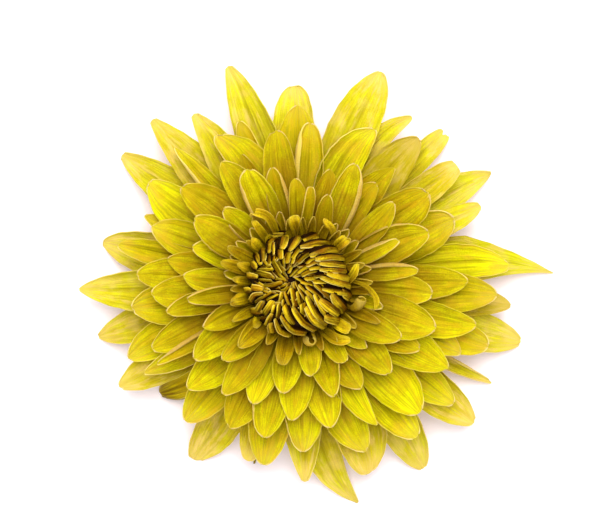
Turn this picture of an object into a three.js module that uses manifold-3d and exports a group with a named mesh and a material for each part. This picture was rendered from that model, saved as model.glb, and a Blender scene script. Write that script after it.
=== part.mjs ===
// A cut chrysanthemum head of the decorative type, lying face up on a flat surface.
// Millimetres, +Z up. Azimuths are in degrees, anticlockwise from +X as seen from above.
// The head rests on the flat cut end of its stalk stub and on the drooping tips of its lowest florets.
import * as THREE from "three";
import { mergeVertices } from "three/addons/utils/BufferGeometryUtils.js";
import Module from "manifold-3d";

const wasm = await Module();
wasm.setup();

// ---------------------------------------------------------------- driving dimensions
const LONGEST_REACH = 51.5; // axis of the head to the tip of its longest floret
const RIM_Z = 10.6; // height of the lowest florets where they leave the receptacle
const RIM_R = 6.7; // radius of the receptacle there, plus the seat gap
const DROOP_START_R = 8; // outside this radius the lowest florets droop
const DROOP_POWER = 2.2;
const TOP_LEVEL = 13; // florets lie on stacked levels, from 0 (lowest) to 13 (round the button)
const SEAT_STEP = 0.3; // each level is seated this much nearer to the axis
const FLARE = { z: 16, rise: 13, r: 3, width: 9, power: 1.4 }; // the surface on which level 13 lies

const SEAT_GAP = 0.4; // receptacle to the end of a floret, level with the floret
const COLLAR = { width: 0.8, halfHeight: 0.25, gap: 0.1, rootInset: 0.2, sides: 20 };
const CLIMB_SHARE = 0.35; // a floret climbs from its collar to its own level in this share of its length
const SETTLE_POWER = 3; // the lowest florets settle onto the surface towards their tips
const BEND_POWER = 1.5;
const FLORET_CUP = 0.05; // rise of each edge, as a share of the width
const FLORET_THICKNESS = { base: 0.3, blade: 0.4, fullAt: 0.3, thinFrom: 0.8, thinShare: 0.6 };

const STALK_R = 2.2;
// Outline of the stalk stub and the underside of the receptacle, as [radius, height].
const UNDERSIDE = [
  [0, 0],
  [STALK_R - 0.2, 0],
  [STALK_R, 0.3],
  [STALK_R, 4],
  [STALK_R + 0.4, 5.4],
  [3.5, 7],
  [4.9, 8],
  [5.9, 9.3],
];
const RECEPTACLE = { domeSteps: 6, crownRise: 0.1, sides: 24 };

const BUTTON = { bottomZ: 16.5, lobes: 13, lobeDepth: 0.035, twist: 1.2, sides: 39 };
// Outline of the button, as [radius, height over its foot].
const BUTTON_OUTLINE = [
  [0, 0],
  [2.2, 0.1],
  [4.2, 1.2],
  [6.3, 2.7],
  [8.2, 4.6],
  [9.5, 6.4],
  [10, 7.9],
  [9.7, 9.5],
  [8.6, 11.2],
  [6.6, 12.6],
  [3.6, 13.5],
  [0, 13.9],
];

// Each floret: azimuth of the tip, reach of the tip from the axis, width, level, and how far the root's
// azimuth is from the tip's.
const OUTER_FLORETS = [
  [2.6, LONGEST_REACH, 9, 0, 8],
  [23.3, 39.7, 6.4, 0.8, 0],
  [29.8, 44.8, 9, 0, 0],
  [36.8, 39.4, 6.2, 0.8, 0],
  [44.4, 42.4, 6, 0, 1],
  [50.3, 37.5, 8, 1.6, 0],
  [55.8, 40.4, 4.5, 0.8, 7],
  [68.6, 45.4, 9.5, 1.6, 7],
  [91.1, 39.8, 8.5, 0, -1],
  [107.7, 45.7, 9.4, 0.8, -6],
  [121.4, 39.7, 8.5, 1.6, -2],
  [131.5, 43.8, 8.8, 0.8, 0],
  [143.8, 43.7, 8.6, 0, 0],
  [168.1, 40.3, 9, 0, 0],
  [181.2, 43.6, 9.3, 0.8, 0],
  [194.8, 41.5, 8.8, 0, -1],
  [209.9, 41.2, 9, 0.8, 0],
  [239.6, 41.1, 9, 0, 0],
  [254.6, 36.5, 6, 0.8, 0],
  [272, 39.3, 9, 0.8, 0],
  [284.8, 45.7, 8.5, 0, -5],
  [291.4, 40.3, 9.4, 0.8, 0],
  [304.2, 44.8, 8, 0, 4],
  [321.6, 45, 9.3, 0.8, 0],
  [333.2, 43.7, 3.2, 0, 0],
  [345.5, 46.3, 9, 0, 0],
  [354.1, 42.7, 6.5, 0.8, 0],
];

const SECOND_FLORETS = [
  [4.6, 42, 7.4, 2.4, 2],
  [22.9, 33.4, 8.5, 2.4, 0],
  [64, 33, 7.5, 2.4, 5],
  [85.7, 31.9, 6, 3.2, 0],
  [90, 35.4, 8.5, 2.4, 0],
  [109.8, 34.2, 5, 2.4, -3],
  [118.6, 33.5, 9, 3.2, -4],
  [131.9, 36.3, 4.4, 2.4, 0],
  [145.7, 35.8, 9.2, 2.4, -3],
  [158.3, 30.9, 7.5, 3.2, 0],
  [155.8, 33.2, 6, 1.6, 4],
  [188, 33.1, 8.5, 3.2, 0],
  [203.5, 36.6, 8, 2.4, 0],
  [209.3, 35, 4.5, 3.2, 0],
  [230.4, 35.2, 8.2, 2.4, 0],
  [259, 36.4, 8.6, 2.4, 0],
  [271.7, 33, 8.5, 3.2, 0],
  [292, 35.6, 9, 2.4, 0],
  [307.8, 38.2, 8, 3.2, 0],
  [322.5, 38.8, 8, 2.4, 0],
  [337.4, 34.9, 6.5, 3.2, 0],
  [342, 39.6, 8, 2.4, 2],
  [357, 39.3, 8, 3.2, 0],
  [167.5, 36.4, 5.5, 2.4, 0],
];

const THIRD_FLORETS = [
  [1, 33.4, 7, 4.4, 0],
  [35, 31.2, 9, 5.2, 2],
  [50.5, 29.7, 7, 4.4, 0],
  [98, 30.5, 6.5, 4.4, 0],
  [113.4, 27.7, 4.5, 4.4, 0],
  [122, 28.3, 6.5, 5.2, -3],
  [139.9, 29.8, 7.5, 4.4, -4],
  [169.2, 26, 6.5, 5.2, 0],
  [176.4, 31.7, 7.5, 4.4, 0],
  [183.6, 28.7, 7, 5.2, 0],
  [203.8, 31.3, 7.5, 4.4, -2],
  [209.5, 31.6, 3.4, 4.4, 0],
  [223.4, 29.7, 8, 4.4, 0],
  [244.6, 31.2, 8, 4.4, 0],
  [257.6, 30.7, 8, 5.2, 0],
  [267.3, 26.6, 7.5, 6, 0],
  [282.9, 28.7, 7.5, 5.2, 0],
  [299.2, 31.6, 6, 5.2, -2],
  [313.6, 34.8, 9.5, 4.4, -2],
  [330.8, 33.7, 9, 5.2, 0],
  [347, 35.9, 7, 4.4, 0],
];

const FOURTH_FLORETS = [
  [5.9, 23.5, 4.5, 7.6, 0],
  [21.8, 27.5, 7.5, 6.8, 0],
  [39, 24.5, 5.5, 7.6, -5],
  [52, 25, 6, 6.8, 0],
  [65.6, 26.1, 6.5, 7.6, -2],
  [74.7, 23.4, 5.5, 6.8, 0],
  [102.4, 23.3, 4.5, 6.8, -2],
  [114, 24.5, 7, 7.6, -3],
  [133.6, 20.7, 5.5, 6.8, -4],
  [147.1, 23.9, 6.5, 7.6, -3],
  [160.3, 21.8, 6.5, 6.8, -2],
  [176, 22.3, 5.5, 7.6, 0],
  [192, 26.1, 4.5, 6.8, 0],
  [215.5, 24.8, 6.5, 6.8, 0],
  [235.9, 25.8, 6.5, 7.6, 0],
  [249.2, 24.8, 6.5, 6.8, 2],
  [262, 21.3, 6, 7.6, 0],
  [287.8, 22.9, 6, 7.6, 0],
  [301.5, 23.7, 6.5, 6.8, 2],
  [316.3, 24.9, 6.5, 7.6, 0],
  [332, 26.9, 6, 6.8, 0],
  [342.3, 28.1, 8.5, 7.6, 0],
  [355.9, 26.3, 6, 6.8, 0],
];

const FIFTH_FLORETS = [
  [13, 20, 3.5, 8.6, 0],
  [24.9, 21.4, 3.5, 9.4, -3],
  [36, 19, 4, 8.6, 0],
  [48, 20, 4, 9.4, 0],
  [60, 19.5, 4, 8.6, 0],
  [72.9, 19, 5, 9.4, 0],
  [82, 19.2, 3.2, 9.4, 0],
  [90.6, 20.6, 5, 8.6, 0],
  [104, 18.5, 3.5, 9.4, 0],
  [118, 18, 4.5, 8.6, 0],
  [130, 17, 4, 9.4, 0],
  [145, 18, 4.5, 8.6, 0],
  [158, 17.5, 4.5, 9.4, 0],
  [170, 18, 4, 8.6, 0],
  [187.5, 21.6, 3.5, 9.4, 0],
  [204.4, 20.1, 5, 8.6, 0],
  [225.3, 20.6, 5, 9.4, 0],
  [278.3, 17.9, 5, 9.4, 0],
  [301.5, 17.4, 4.5, 9.4, 0],
  [318, 19, 5, 8.6, 0],
  [332.5, 22.5, 6, 9.4, 0],
  [345, 19.5, 4.5, 8.6, 0],
  [357, 20.8, 4, 9.4, 0],
];

const INNER_FLORETS = [
  [5, 14.5, 3, 10.4, 0],
  [14, 12.2, 2.4, 11.2, 0],
  [30, 14.5, 3, 10.4, 0],
  [44.3, 12.8, 2.8, 11.2, 0],
  [58, 15, 3, 10.4, 0],
  [70, 13.8, 3, 11.2, 0],
  [84, 14.5, 3, 10.4, 0],
  [99.5, 13.9, 3, 11.2, 0],
  [110, 14, 3, 12, 0],
  [123.6, 16.3, 4, 10.4, 0],
  [136, 12.6, 2.5, 11.2, 0],
  [151.7, 15.2, 3, 10.4, 0],
  [162.5, 15.6, 3.2, 11.2, 0],
  [175, 12.2, 2.4, 12, 0],
  [193, 12.8, 2.6, 11.2, 0],
  [210.9, 15, 3.5, 10.4, 0],
  [226.5, 16.5, 4.5, 11.2, 0],
  [240, 13, 3, 12, 0],
  [259.7, 15.7, 3.5, 10.4, 0],
  [268, 13, 3, 12, 0],
  [282, 13, 3.2, 11.2, 0],
  [317.5, 14.5, 3.5, 10.4, 0],
  [330, 13.5, 3, 12, 0],
  [346, 15.8, 3.5, 10.4, 0],
  [356, 13.8, 3, 11.2, 0],
];

const BRACTS = {
  count: 13,
  cupR: 5.3,
  cupZ: 8,
  cupWidth: 1.2,
  cupEdge: 0.45,
  rootInset: 0.3,
  rootSink: 0.1,
  rise: 1.3,
  cup: 0.06,
  thickness: 0.35,
  inner: { reach: 12, width: 3.4, drop: 0 },
  outer: { reach: 10, width: 3, drop: 1.25 }, // the outer row lies this far under the inner row
};

// Small leaves grow from the stalk just under the head: azimuth, reach, width, height of the tip.
const LEAVES = {
  folded_leaf: { azimuth: 221, reach: 35.4, width: 7.5, tipZ: 0.7 },
  small_leaf: { azimuth: 256.5, reach: 37, width: 5.5, tipZ: 0.5 },
};
const LEAF_ROOT = { gap: 0.3, z: 4 };
const LEAF_ARCH = { rise: 2.4, power: 0.8 }; // how far a leaf stands over the line from its root to its tip
const LEAF_THICKNESS = 0.5;
const LEAF_CUP = 0.12;

const COLOURS = {
  outer: 0xd9cf2c,
  second: 0xcbbd1c,
  third: 0xc2b01a,
  fourth: 0xb9a41a,
  fifth: 0xab9619,
  inner: 0xa18a1b,
  button: 0x8f7a1c,
  green: 0x6f7f35,
  olive: 0x77762a,
};

// ---------------------------------------------------------------- heights of the stacked levels
const radians = THREE.MathUtils.degToRad;

function lowestZ(r) {
  const beyond = Math.max(0, r - DROOP_START_R) / (LONGEST_REACH - DROOP_START_R);
  return RIM_Z * (1 - Math.pow(beyond, DROOP_POWER));
}

function highestZ(r) {
  const out = Math.max(0, r - FLARE.r) / FLARE.width;
  return FLARE.z + FLARE.rise * (1 - Math.exp(-Math.pow(out, FLARE.power)));
}

function levelZ(level, r) {
  return THREE.MathUtils.lerp(lowestZ(r), highestZ(r), level / TOP_LEVEL);
}

function seatR(level) {
  return RIM_R - SEAT_STEP * level;
}

// ---------------------------------------------------------------- one floret, bract or leaf
// Share of the full width at steps along a floret, from the narrow claw to the last step before the tip.
const BLADE_STEPS = [
  [0, 0.14],
  [0.12, 0.2],
  [0.28, 0.45],
  [0.45, 0.76],
  [0.62, 0.97],
  [0.78, 0.95],
  [0.92, 0.6],
];

// Closed strip: each section has four points (left edge, top, right edge, underside), and it closes on one
// tip point.
function stripGeometry(sections, tip) {
  const positions = [...sections.flat(), tip].flatMap((point) => point.toArray());
  const index = [];
  const last = (sections.length - 1) * 4;
  const tipIndex = last + 4;
  for (let side = 0; side < 4; side += 1) {
    const next = (side + 1) % 4;
    for (let row = 0; row < last; row += 4) {
      index.push(row + side, row + next + 4, row + next, row + side, row + side + 4, row + next + 4);
    }
    index.push(last + side, tipIndex, last + next);
  }
  index.push(0, 1, 3, 1, 2, 3);
  const geometry = new THREE.BufferGeometry();
  geometry.setAttribute("position", new THREE.Float32BufferAttribute(positions, 3));
  geometry.setIndex(index);
  return geometry;
}

// A blade along a midline. place(s) gives the { azimuth, r, z } of the midline at s, which runs from 0 at
// the root to 1 at the tip.
function bladeGeometry({ width, cup, thickness, place }) {
  const sections = BLADE_STEPS.map(([s, share]) => {
    const { azimuth, r, z } = place(s);
    const centre = new THREE.Vector3(r * Math.cos(azimuth), r * Math.sin(azimuth), z);
    const across = new THREE.Vector3(-Math.sin(azimuth), Math.cos(azimuth), 0);
    const half = (width * share) / 2;
    const edge = new THREE.Vector3(0, 0, cup * width * share);
    return [
      centre.clone().addScaledVector(across, -half).add(edge),
      centre.clone(),
      centre.clone().addScaledVector(across, half).add(edge),
      centre.clone().add(new THREE.Vector3(0, 0, -thickness(s))),
    ];
  });
  const end = place(1);
  const tip = new THREE.Vector3(end.r * Math.cos(end.azimuth), end.r * Math.sin(end.azimuth), end.z);
  return stripGeometry(sections, tip);
}

function floretThickness(s) {
  const { base, blade, fullAt, thinFrom, thinShare } = FLORET_THICKNESS;
  const share = s > thinFrom ? thinShare : 1;
  return THREE.MathUtils.lerp(base, blade, Math.min(1, s / fullAt)) * share;
}

// rootLevel is the level at which the floret is seated; it climbs to its own level along its claw.
function floretGeometry([tipAzimuth, reach, width, level, bend], rootLevel = level, rootR = seatR(level)) {
  const restsOnSurface = level === 0;
  const place = (s) => {
    const r = THREE.MathUtils.lerp(rootR, reach, s);
    const here = THREE.MathUtils.lerp(rootLevel, level, THREE.MathUtils.smoothstep(s, 0, CLIMB_SHARE));
    const settle = restsOnSurface ? levelZ(0, reach) * s ** SETTLE_POWER : 0;
    const azimuth = radians(tipAzimuth + bend * (1 - s) ** BEND_POWER);
    return { azimuth, r, z: levelZ(here, r) - settle };
  };
  return bladeGeometry({ width, cup: FLORET_CUP, thickness: floretThickness, place });
}

// ---------------------------------------------------------------- joining
const MERGE_DISTANCE = 1e-4;

function toManifold(geometry) {
  const bare = geometry.clone();
  bare.deleteAttribute("normal");
  bare.deleteAttribute("uv");
  const merged = mergeVertices(bare, MERGE_DISTANCE);
  const mesh = new wasm.Mesh({
    numProp: 3,
    vertProperties: new Float32Array(merged.attributes.position.array),
    triVerts: withoutFlatTriangles(merged.index.array),
  });
  return new wasm.Manifold(mesh);
}

function withoutFlatTriangles(index) {
  const kept = [];
  for (let i = 0; i < index.length; i += 3) {
    const [a, b, c] = [index[i], index[i + 1], index[i + 2]];
    if (a !== b && b !== c && c !== a) kept.push(a, b, c);
  }
  return new Uint32Array(kept);
}

function toGeometry(manifold) {
  const { vertProperties, triVerts } = manifold.getMesh();
  const geometry = new THREE.BufferGeometry();
  geometry.setAttribute("position", new THREE.Float32BufferAttribute(vertProperties, 3));
  geometry.setIndex([...triVerts]);
  return geometry;
}

function joined(geometries) {
  return toGeometry(geometries.map(toManifold).reduce((sum, solid) => sum.add(solid)));
}

function lathe(outline, sides) {
  const points = outline.map(([r, z]) => new THREE.Vector2(r, z));
  return new THREE.LatheGeometry(points, sides).rotateX(Math.PI / 2);
}

function ringGeometry(innerR, outerR, bottomZ, topZ) {
  const outline = [
    [innerR, bottomZ],
    [outerR, bottomZ],
    [outerR, topZ],
    [innerR, topZ],
    [innerR, bottomZ],
  ];
  return lathe(outline, COLLAR.sides);
}

// ---------------------------------------------------------------- pieces
// The roots of a crowded whorl are packed side by side, so they form one collar round the receptacle.
function whorlGeometry(florets) {
  const rootLevel = Math.min(...florets.map(([, , , level]) => level));
  const innerR = seatR(rootLevel) + COLLAR.gap;
  const z = levelZ(rootLevel, innerR);
  const outerR = innerR + COLLAR.width;
  const collar = ringGeometry(innerR, outerR, z - COLLAR.halfHeight, z + COLLAR.halfHeight);
  const rootR = innerR + COLLAR.rootInset;
  return joined([collar, ...florets.map((floret) => floretGeometry(floret, rootLevel, rootR))]);
}

// Domed receptacle on its cut stalk, in one piece.
function receptacleGeometry() {
  const { domeSteps, crownRise, sides } = RECEPTACLE;
  const dome = [];
  for (let step = 0; step <= domeSteps; step += 1) {
    const level = (TOP_LEVEL * step) / domeSteps;
    dome.push([seatR(level) - SEAT_GAP, levelZ(level, seatR(level))]);
  }
  return lathe([...UNDERSIDE, ...dome, [0, dome.at(-1)[1] + crownRise]], sides);
}

// Two rows of small bracts on a shallow cup under the head.
function involucreGeometry() {
  const { count, cupR, cupZ, cupWidth, cupEdge, inner, outer } = BRACTS;
  const pieces = [ringGeometry(cupR, cupR + cupWidth, cupZ - cupEdge - outer.drop, cupZ)];
  for (let i = 0; i < count; i += 1) {
    const azimuth = (360 / count) * i;
    pieces.push(bractGeometry(azimuth, inner));
    pieces.push(bractGeometry(azimuth + 180 / count, outer));
  }
  return joined(pieces);
}

function bractGeometry(azimuth, { reach, width, drop }) {
  const { cupR, cupZ, rootInset, rootSink, rise, cup, thickness } = BRACTS;
  const place = (s) => ({
    azimuth: radians(azimuth),
    r: THREE.MathUtils.lerp(cupR + rootInset, reach, s),
    z: cupZ - rootSink - drop + rise * Math.sin((s * Math.PI) / 2),
  });
  return bladeGeometry({ width, cup, thickness: () => thickness, place });
}

function leafGeometry({ azimuth, reach, width, tipZ }) {
  const arch = (s) => LEAF_ARCH.rise * Math.sin(Math.PI * s ** LEAF_ARCH.power);
  const place = (s) => ({
    azimuth: radians(azimuth),
    r: THREE.MathUtils.lerp(STALK_R + LEAF_ROOT.gap, reach, s),
    z: THREE.MathUtils.lerp(LEAF_ROOT.z, tipZ, s) + arch(s),
  });
  return bladeGeometry({ width, cup: LEAF_CUP, thickness: () => LEAF_THICKNESS, place });
}

// Tight ball of incurved florets: a lobed, twisted round body, narrow where it stands on the receptacle.
function buttonGeometry() {
  const { bottomZ, lobes, lobeDepth, twist, sides } = BUTTON;
  const height = BUTTON_OUTLINE.at(-1)[1];
  const geometry = lathe(BUTTON_OUTLINE, sides);
  const position = geometry.attributes.position;
  const point = new THREE.Vector3();
  for (let i = 0; i < position.count; i += 1) {
    point.fromBufferAttribute(position, i);
    const turn = Math.atan2(point.y, point.x) + (twist * point.z) / height;
    const share = 1 - lobeDepth * (1 + Math.cos(lobes * turn));
    position.setXYZ(i, point.x * share, point.y * share, point.z);
  }
  return joined([geometry.translate(0, 0, bottomZ)]);
}

// ---------------------------------------------------------------- the flower head
function piece(name, geometry, colour) {
  geometry.computeVertexNormals();
  const material = new THREE.MeshStandardMaterial({ color: colour, roughness: 0.55, metalness: 0 });
  const mesh = new THREE.Mesh(geometry, material);
  mesh.name = name;
  return mesh;
}

function floretPieces(prefix, florets, colour) {
  return florets.map((floret, i) => {
    const number = String(i + 1).padStart(2, "0");
    return piece(`${prefix}_${number}`, floretGeometry(floret), colour);
  });
}

const head = new THREE.Group();
head.add(
  piece("stalk_and_receptacle", receptacleGeometry(), COLOURS.green),
  piece("involucre_bracts", involucreGeometry(), COLOURS.green),
  ...Object.entries(LEAVES).map(([name, leaf]) => piece(name, leafGeometry(leaf), COLOURS.olive)),
  ...floretPieces("outer_floret", OUTER_FLORETS, COLOURS.outer),
  ...floretPieces("second_floret", SECOND_FLORETS, COLOURS.second),
  piece("third_whorl", whorlGeometry(THIRD_FLORETS), COLOURS.third),
  piece("fourth_whorl", whorlGeometry(FOURTH_FLORETS), COLOURS.fourth),
  piece("fifth_whorl", whorlGeometry(FIFTH_FLORETS), COLOURS.fifth),
  piece("inner_whorl", whorlGeometry(INNER_FLORETS), COLOURS.inner),
  piece("button", buttonGeometry(), COLOURS.button),
);

// The origin is on the surface, under the middle of the whole head's outline.
const outline = new THREE.Box3().setFromObject(head);
const middle = outline.getCenter(new THREE.Vector3());
head.position.set(-middle.x, -middle.y, -outline.min.z);

const flower = new THREE.Group();
flower.add(head);
flower.updateMatrixWorld(true);
export default flower;
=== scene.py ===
"""A cut chrysanthemum head of the decorative type, lying face up on a pale surface.

Lengths are in millimetres and angles in degrees until a mesh is written. Azimuths run anticlockwise from +X,
seen from above. The head hangs together on the axis of its stalk, and its florets lie on stacked levels.
"""

import bpy
import numpy as np
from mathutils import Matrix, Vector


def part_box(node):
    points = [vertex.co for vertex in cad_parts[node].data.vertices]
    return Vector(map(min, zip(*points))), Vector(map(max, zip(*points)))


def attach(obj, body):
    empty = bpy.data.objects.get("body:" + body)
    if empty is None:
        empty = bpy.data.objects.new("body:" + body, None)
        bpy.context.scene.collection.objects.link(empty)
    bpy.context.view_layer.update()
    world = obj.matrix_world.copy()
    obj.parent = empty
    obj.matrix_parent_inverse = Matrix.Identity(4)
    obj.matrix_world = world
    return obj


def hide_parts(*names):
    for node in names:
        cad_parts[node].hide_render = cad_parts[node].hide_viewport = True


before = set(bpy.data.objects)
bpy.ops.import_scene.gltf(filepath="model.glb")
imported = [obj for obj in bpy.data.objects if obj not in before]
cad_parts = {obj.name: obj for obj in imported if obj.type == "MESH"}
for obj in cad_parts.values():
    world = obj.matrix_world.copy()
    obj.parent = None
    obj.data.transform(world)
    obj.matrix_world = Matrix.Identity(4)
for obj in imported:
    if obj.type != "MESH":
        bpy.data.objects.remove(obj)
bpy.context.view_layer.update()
MM = 0.001

# ---------------------------------------------------------------- stalk and receptacle
# The green stalk was cut square just under the head. It widens into the receptacle, the firm dome that every
# floret grows from. Both are one piece of the plant, ridged below and smooth above.
stalk_low, stalk_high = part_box("stalk_and_receptacle")
AXIS = np.array([(stalk_low.x + stalk_high.x) / 2, (stalk_low.y + stalk_high.y) / 2, 0]) / MM
LONGEST_REACH = 51.5
RIM_Z = 10.6  # height of the receptacle's edge, where the lowest florets start
RIM_R = 6.7  # its radius there
DROOP_START_R = 8  # the lowest florets droop from here on, down to the surface at LONGEST_REACH
DROOP_POWER = 2.2
TOP_LEVEL = 13
SEAT_STEP = 0.3  # how much narrower the receptacle gets from one level to the next
# The highest florets start at FLARE_Z and climb by FLARE_RISE on their way out.
FLARE_Z, FLARE_RISE, FLARE_R, FLARE_WIDTH, FLARE_POWER = 16, 13, 3, 9, 1.4


def lowest_z(r):
    beyond = np.maximum(0, r - DROOP_START_R) / (LONGEST_REACH - DROOP_START_R)
    return RIM_Z * (1 - beyond**DROOP_POWER)


def highest_z(r):
    out = np.maximum(0, r - FLARE_R) / FLARE_WIDTH
    return FLARE_Z + FLARE_RISE * (1 - np.exp(-(out**FLARE_POWER)))


def level_z(level, r):
    """Height of a level at a distance from the axis, from 0, the lowest, to TOP_LEVEL, round the button."""
    return lowest_z(r) + (highest_z(r) - lowest_z(r)) * level / TOP_LEVEL


def seat_r(level):
    """Radius of the receptacle at a level."""
    return RIM_R - SEAT_STEP * level


def paint(code):
    """Linear colour with alpha, from six hexadecimal digits of sRGB."""
    channels = [int(code[i : i + 2], 16) / 255 for i in (0, 2, 4)]
    return tuple(c / 12.92 if c <= 0.04045 else ((c + 0.055) / 1.055) ** 2.4 for c in channels) + (1.0,)


def add_node(tree, kind, inputs=None, **settings):
    """A new shader node. inputs maps socket names or numbers to values or to the sockets that feed them."""
    node = tree.nodes.new(kind)
    for key, value in settings.items():
        setattr(node, key, value)
    for key, value in (inputs or {}).items():
        if isinstance(value, bpy.types.NodeSocket):
            tree.links.new(value, node.inputs[key])
        else:
            node.inputs[key].default_value = value
    return node


def mixed(tree, factor, first, second):
    """The colour socket of a mix of two colours, where factor 1 is the second."""
    node = add_node(tree, "ShaderNodeMix", {0: factor, 6: first, 7: second}, data_type="RGBA")
    return node.outputs[2]


def ranged(tree, value, from_low, from_high, to_low=0.0, to_high=1.0):
    """The value carried from one range to another, smoothly and clamped."""
    numbers = {0: value, 1: from_low, 2: from_high, 3: to_low, 4: to_high}
    return add_node(tree, "ShaderNodeMapRange", numbers, interpolation_type="SMOOTHSTEP").outputs[0]


def noise(tree, vector, scale, **numbers):
    """The value of a noise texture."""
    return add_node(tree, "ShaderNodeTexNoise", {"Vector": vector, "Scale": scale, **numbers}).outputs[0]


def new_material(name, roughness, **constants):
    """A material whose shader has these plain values. Gives the material, its tree and the shader."""
    material = bpy.data.materials.new(name)
    material.use_nodes = True
    shader = material.node_tree.nodes["Principled BSDF"]
    shader.inputs["Roughness"].default_value = roughness
    for key, value in constants.items():
        shader.inputs[key.replace("_", " ")].default_value = value
    return material, material.node_tree, shader


def stalk_material():
    """Green skin with pale lengthwise ridges and a few brown flecks."""
    material, tree, shader = new_material("stalk_skin", 0.5)
    place = add_node(tree, "ShaderNodeTexCoord").outputs["Object"]
    stretched = add_node(tree, "ShaderNodeMapping", {"Vector": place, "Scale": (1600, 1600, 140)}).outputs[0]
    ridges = noise(tree, stretched, 1.0, Detail=3.0)
    flecks = noise(tree, place, 900.0, Detail=4.0)
    green = mixed(tree, ranged(tree, ridges, 0.35, 0.65), paint("5d7429"), paint("93a34b"))
    skin = mixed(tree, ranged(tree, flecks, 0.6, 0.72), green, paint("6b5a26"))
    tree.links.new(skin, shader.inputs["Base Color"])
    bump = add_node(tree, "ShaderNodeBump", {"Height": ridges, "Strength": 0.4, "Distance": 0.0002})
    tree.links.new(bump.outputs[0], shader.inputs["Normal"])
    return material


def pith_material():
    """Pale wet pith with darker strands, where the stalk was cut."""
    material, tree, shader = new_material("cut_pith", 0.35)
    place = add_node(tree, "ShaderNodeTexCoord").outputs["Object"]
    grain = noise(tree, place, 2500.0, Detail=3.0)
    colour = mixed(tree, ranged(tree, grain, 0.4, 0.65), paint("cfcf9a"), paint("8d9a52"))
    tree.links.new(colour, shader.inputs["Base Color"])
    return material


STALK_SIDES = 56
CUT_R = 2.0
# Radius and height of the outline above the cut, up to where the receptacle starts.
STALK_OUTLINE = [(2.2, 0.3), (2.15, 1.5), (2.2, 3), (2.25, 4), (2.6, 5.4), (3.5, 7), (4.9, 8), (5.9, 9.3)]
DOME_STEPS = 8
DOME_TOP_R, DOME_TOP_RISE = 0.8, 0.3
SEAT_GAP = 0.15  # between the receptacle and the roots of the florets
STALK_RIDGES = 7
RIDGE_SHARE = 0.05  # height of a ridge, as a share of the radius
RIDGE_TOP_Z = 6.5


def extrude_loop(old, new):
    """Extrudes the selected end face from one radius and height to another."""
    centre = (AXIS[0] * MM, AXIS[1] * MM, new[1] * MM)
    bpy.ops.mesh.extrude_region_move(TRANSFORM_OT_translate={"value": (0, 0, (new[1] - old[1]) * MM)})
    bpy.ops.transform.resize(value=(new[0] / old[0], new[0] / old[0], 1), center_override=centre)


bpy.ops.object.select_all(action="DESELECT")
bpy.ops.mesh.primitive_circle_add(
    vertices=STALK_SIDES,
    radius=CUT_R * MM,
    fill_type="NGON",
    location=(AXIS[0] * MM, AXIS[1] * MM, 0),
)
stalk = bpy.context.active_object
stalk.name = "cut_stalk_and_receptacle"
bpy.ops.object.transform_apply(location=True)
bpy.ops.object.mode_set(mode="EDIT")
bpy.ops.mesh.select_all(action="SELECT")
outline = [(CUT_R, 0), *STALK_OUTLINE]
for step in range(DOME_STEPS + 1):
    level = TOP_LEVEL * step / DOME_STEPS
    outline.append((seat_r(level) - SEAT_GAP, level_z(level, seat_r(level))))
outline.append((DOME_TOP_R, level_z(TOP_LEVEL, seat_r(TOP_LEVEL)) + DOME_TOP_RISE))
for old, new in zip(outline, outline[1:]):
    extrude_loop(old, new)
bpy.ops.mesh.select_all(action="SELECT")
bpy.ops.mesh.normals_make_consistent(inside=False)
bpy.ops.object.mode_set(mode="OBJECT")
for vertex in stalk.data.vertices:
    out = np.array(vertex.co) / MM - AXIS
    if out[2] < RIDGE_TOP_Z:
        fade = 1 - (out[2] / RIDGE_TOP_Z) ** 2
        share = 1 + RIDGE_SHARE * fade * np.cos(STALK_RIDGES * np.arctan2(out[1], out[0]))
        vertex.co.x = (AXIS[0] + out[0] * share) * MM
        vertex.co.y = (AXIS[1] + out[1] * share) * MM
stalk.data.materials.append(stalk_material())
stalk.data.materials.append(pith_material())
cut_face = min(stalk.data.polygons, key=lambda face: face.center.z)
cut_face.material_index = 1
bpy.ops.object.shade_smooth_by_angle(angle=np.radians(40))
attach(stalk, "root")
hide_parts("stalk_and_receptacle")

# ---------------------------------------------------------------- involucre bracts
# Two rows of thin green bracts clasp the head from below, the outer row shorter and lower. Each is keeled,
# has a dry papery margin and grows from the edge of the receptacle.
rng = np.random.default_rng(41)  # one seeded source, drawn from in the order of the pieces


def smooth(x):
    """From 0 to 1 with a gentle start and end, as x goes from 0 to 1."""
    x = np.clip(x, 0, 1)
    return x * x * (3 - 2 * x)


def unit(vectors):
    return vectors / np.linalg.norm(vectors, axis=-1, keepdims=True)


def blade_blank(name, columns, rows):
    """Flat strip that all blades of this fineness are laid from, with y = 0 at the root and 1 at the tip."""
    bpy.ops.object.select_all(action="DESELECT")
    bpy.ops.mesh.primitive_grid_add(x_subdivisions=columns, y_subdivisions=rows, size=2)
    bpy.ops.object.mode_set(mode="EDIT")
    bpy.ops.mesh.select_all(action="SELECT")
    bpy.ops.transform.translate(value=(0, 1, 0))
    bpy.ops.transform.resize(value=(1, 0.5, 1), center_override=(0, 0, 0))
    bpy.ops.object.mode_set(mode="OBJECT")
    blank = bpy.context.active_object
    blank.name = name
    return blank


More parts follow.
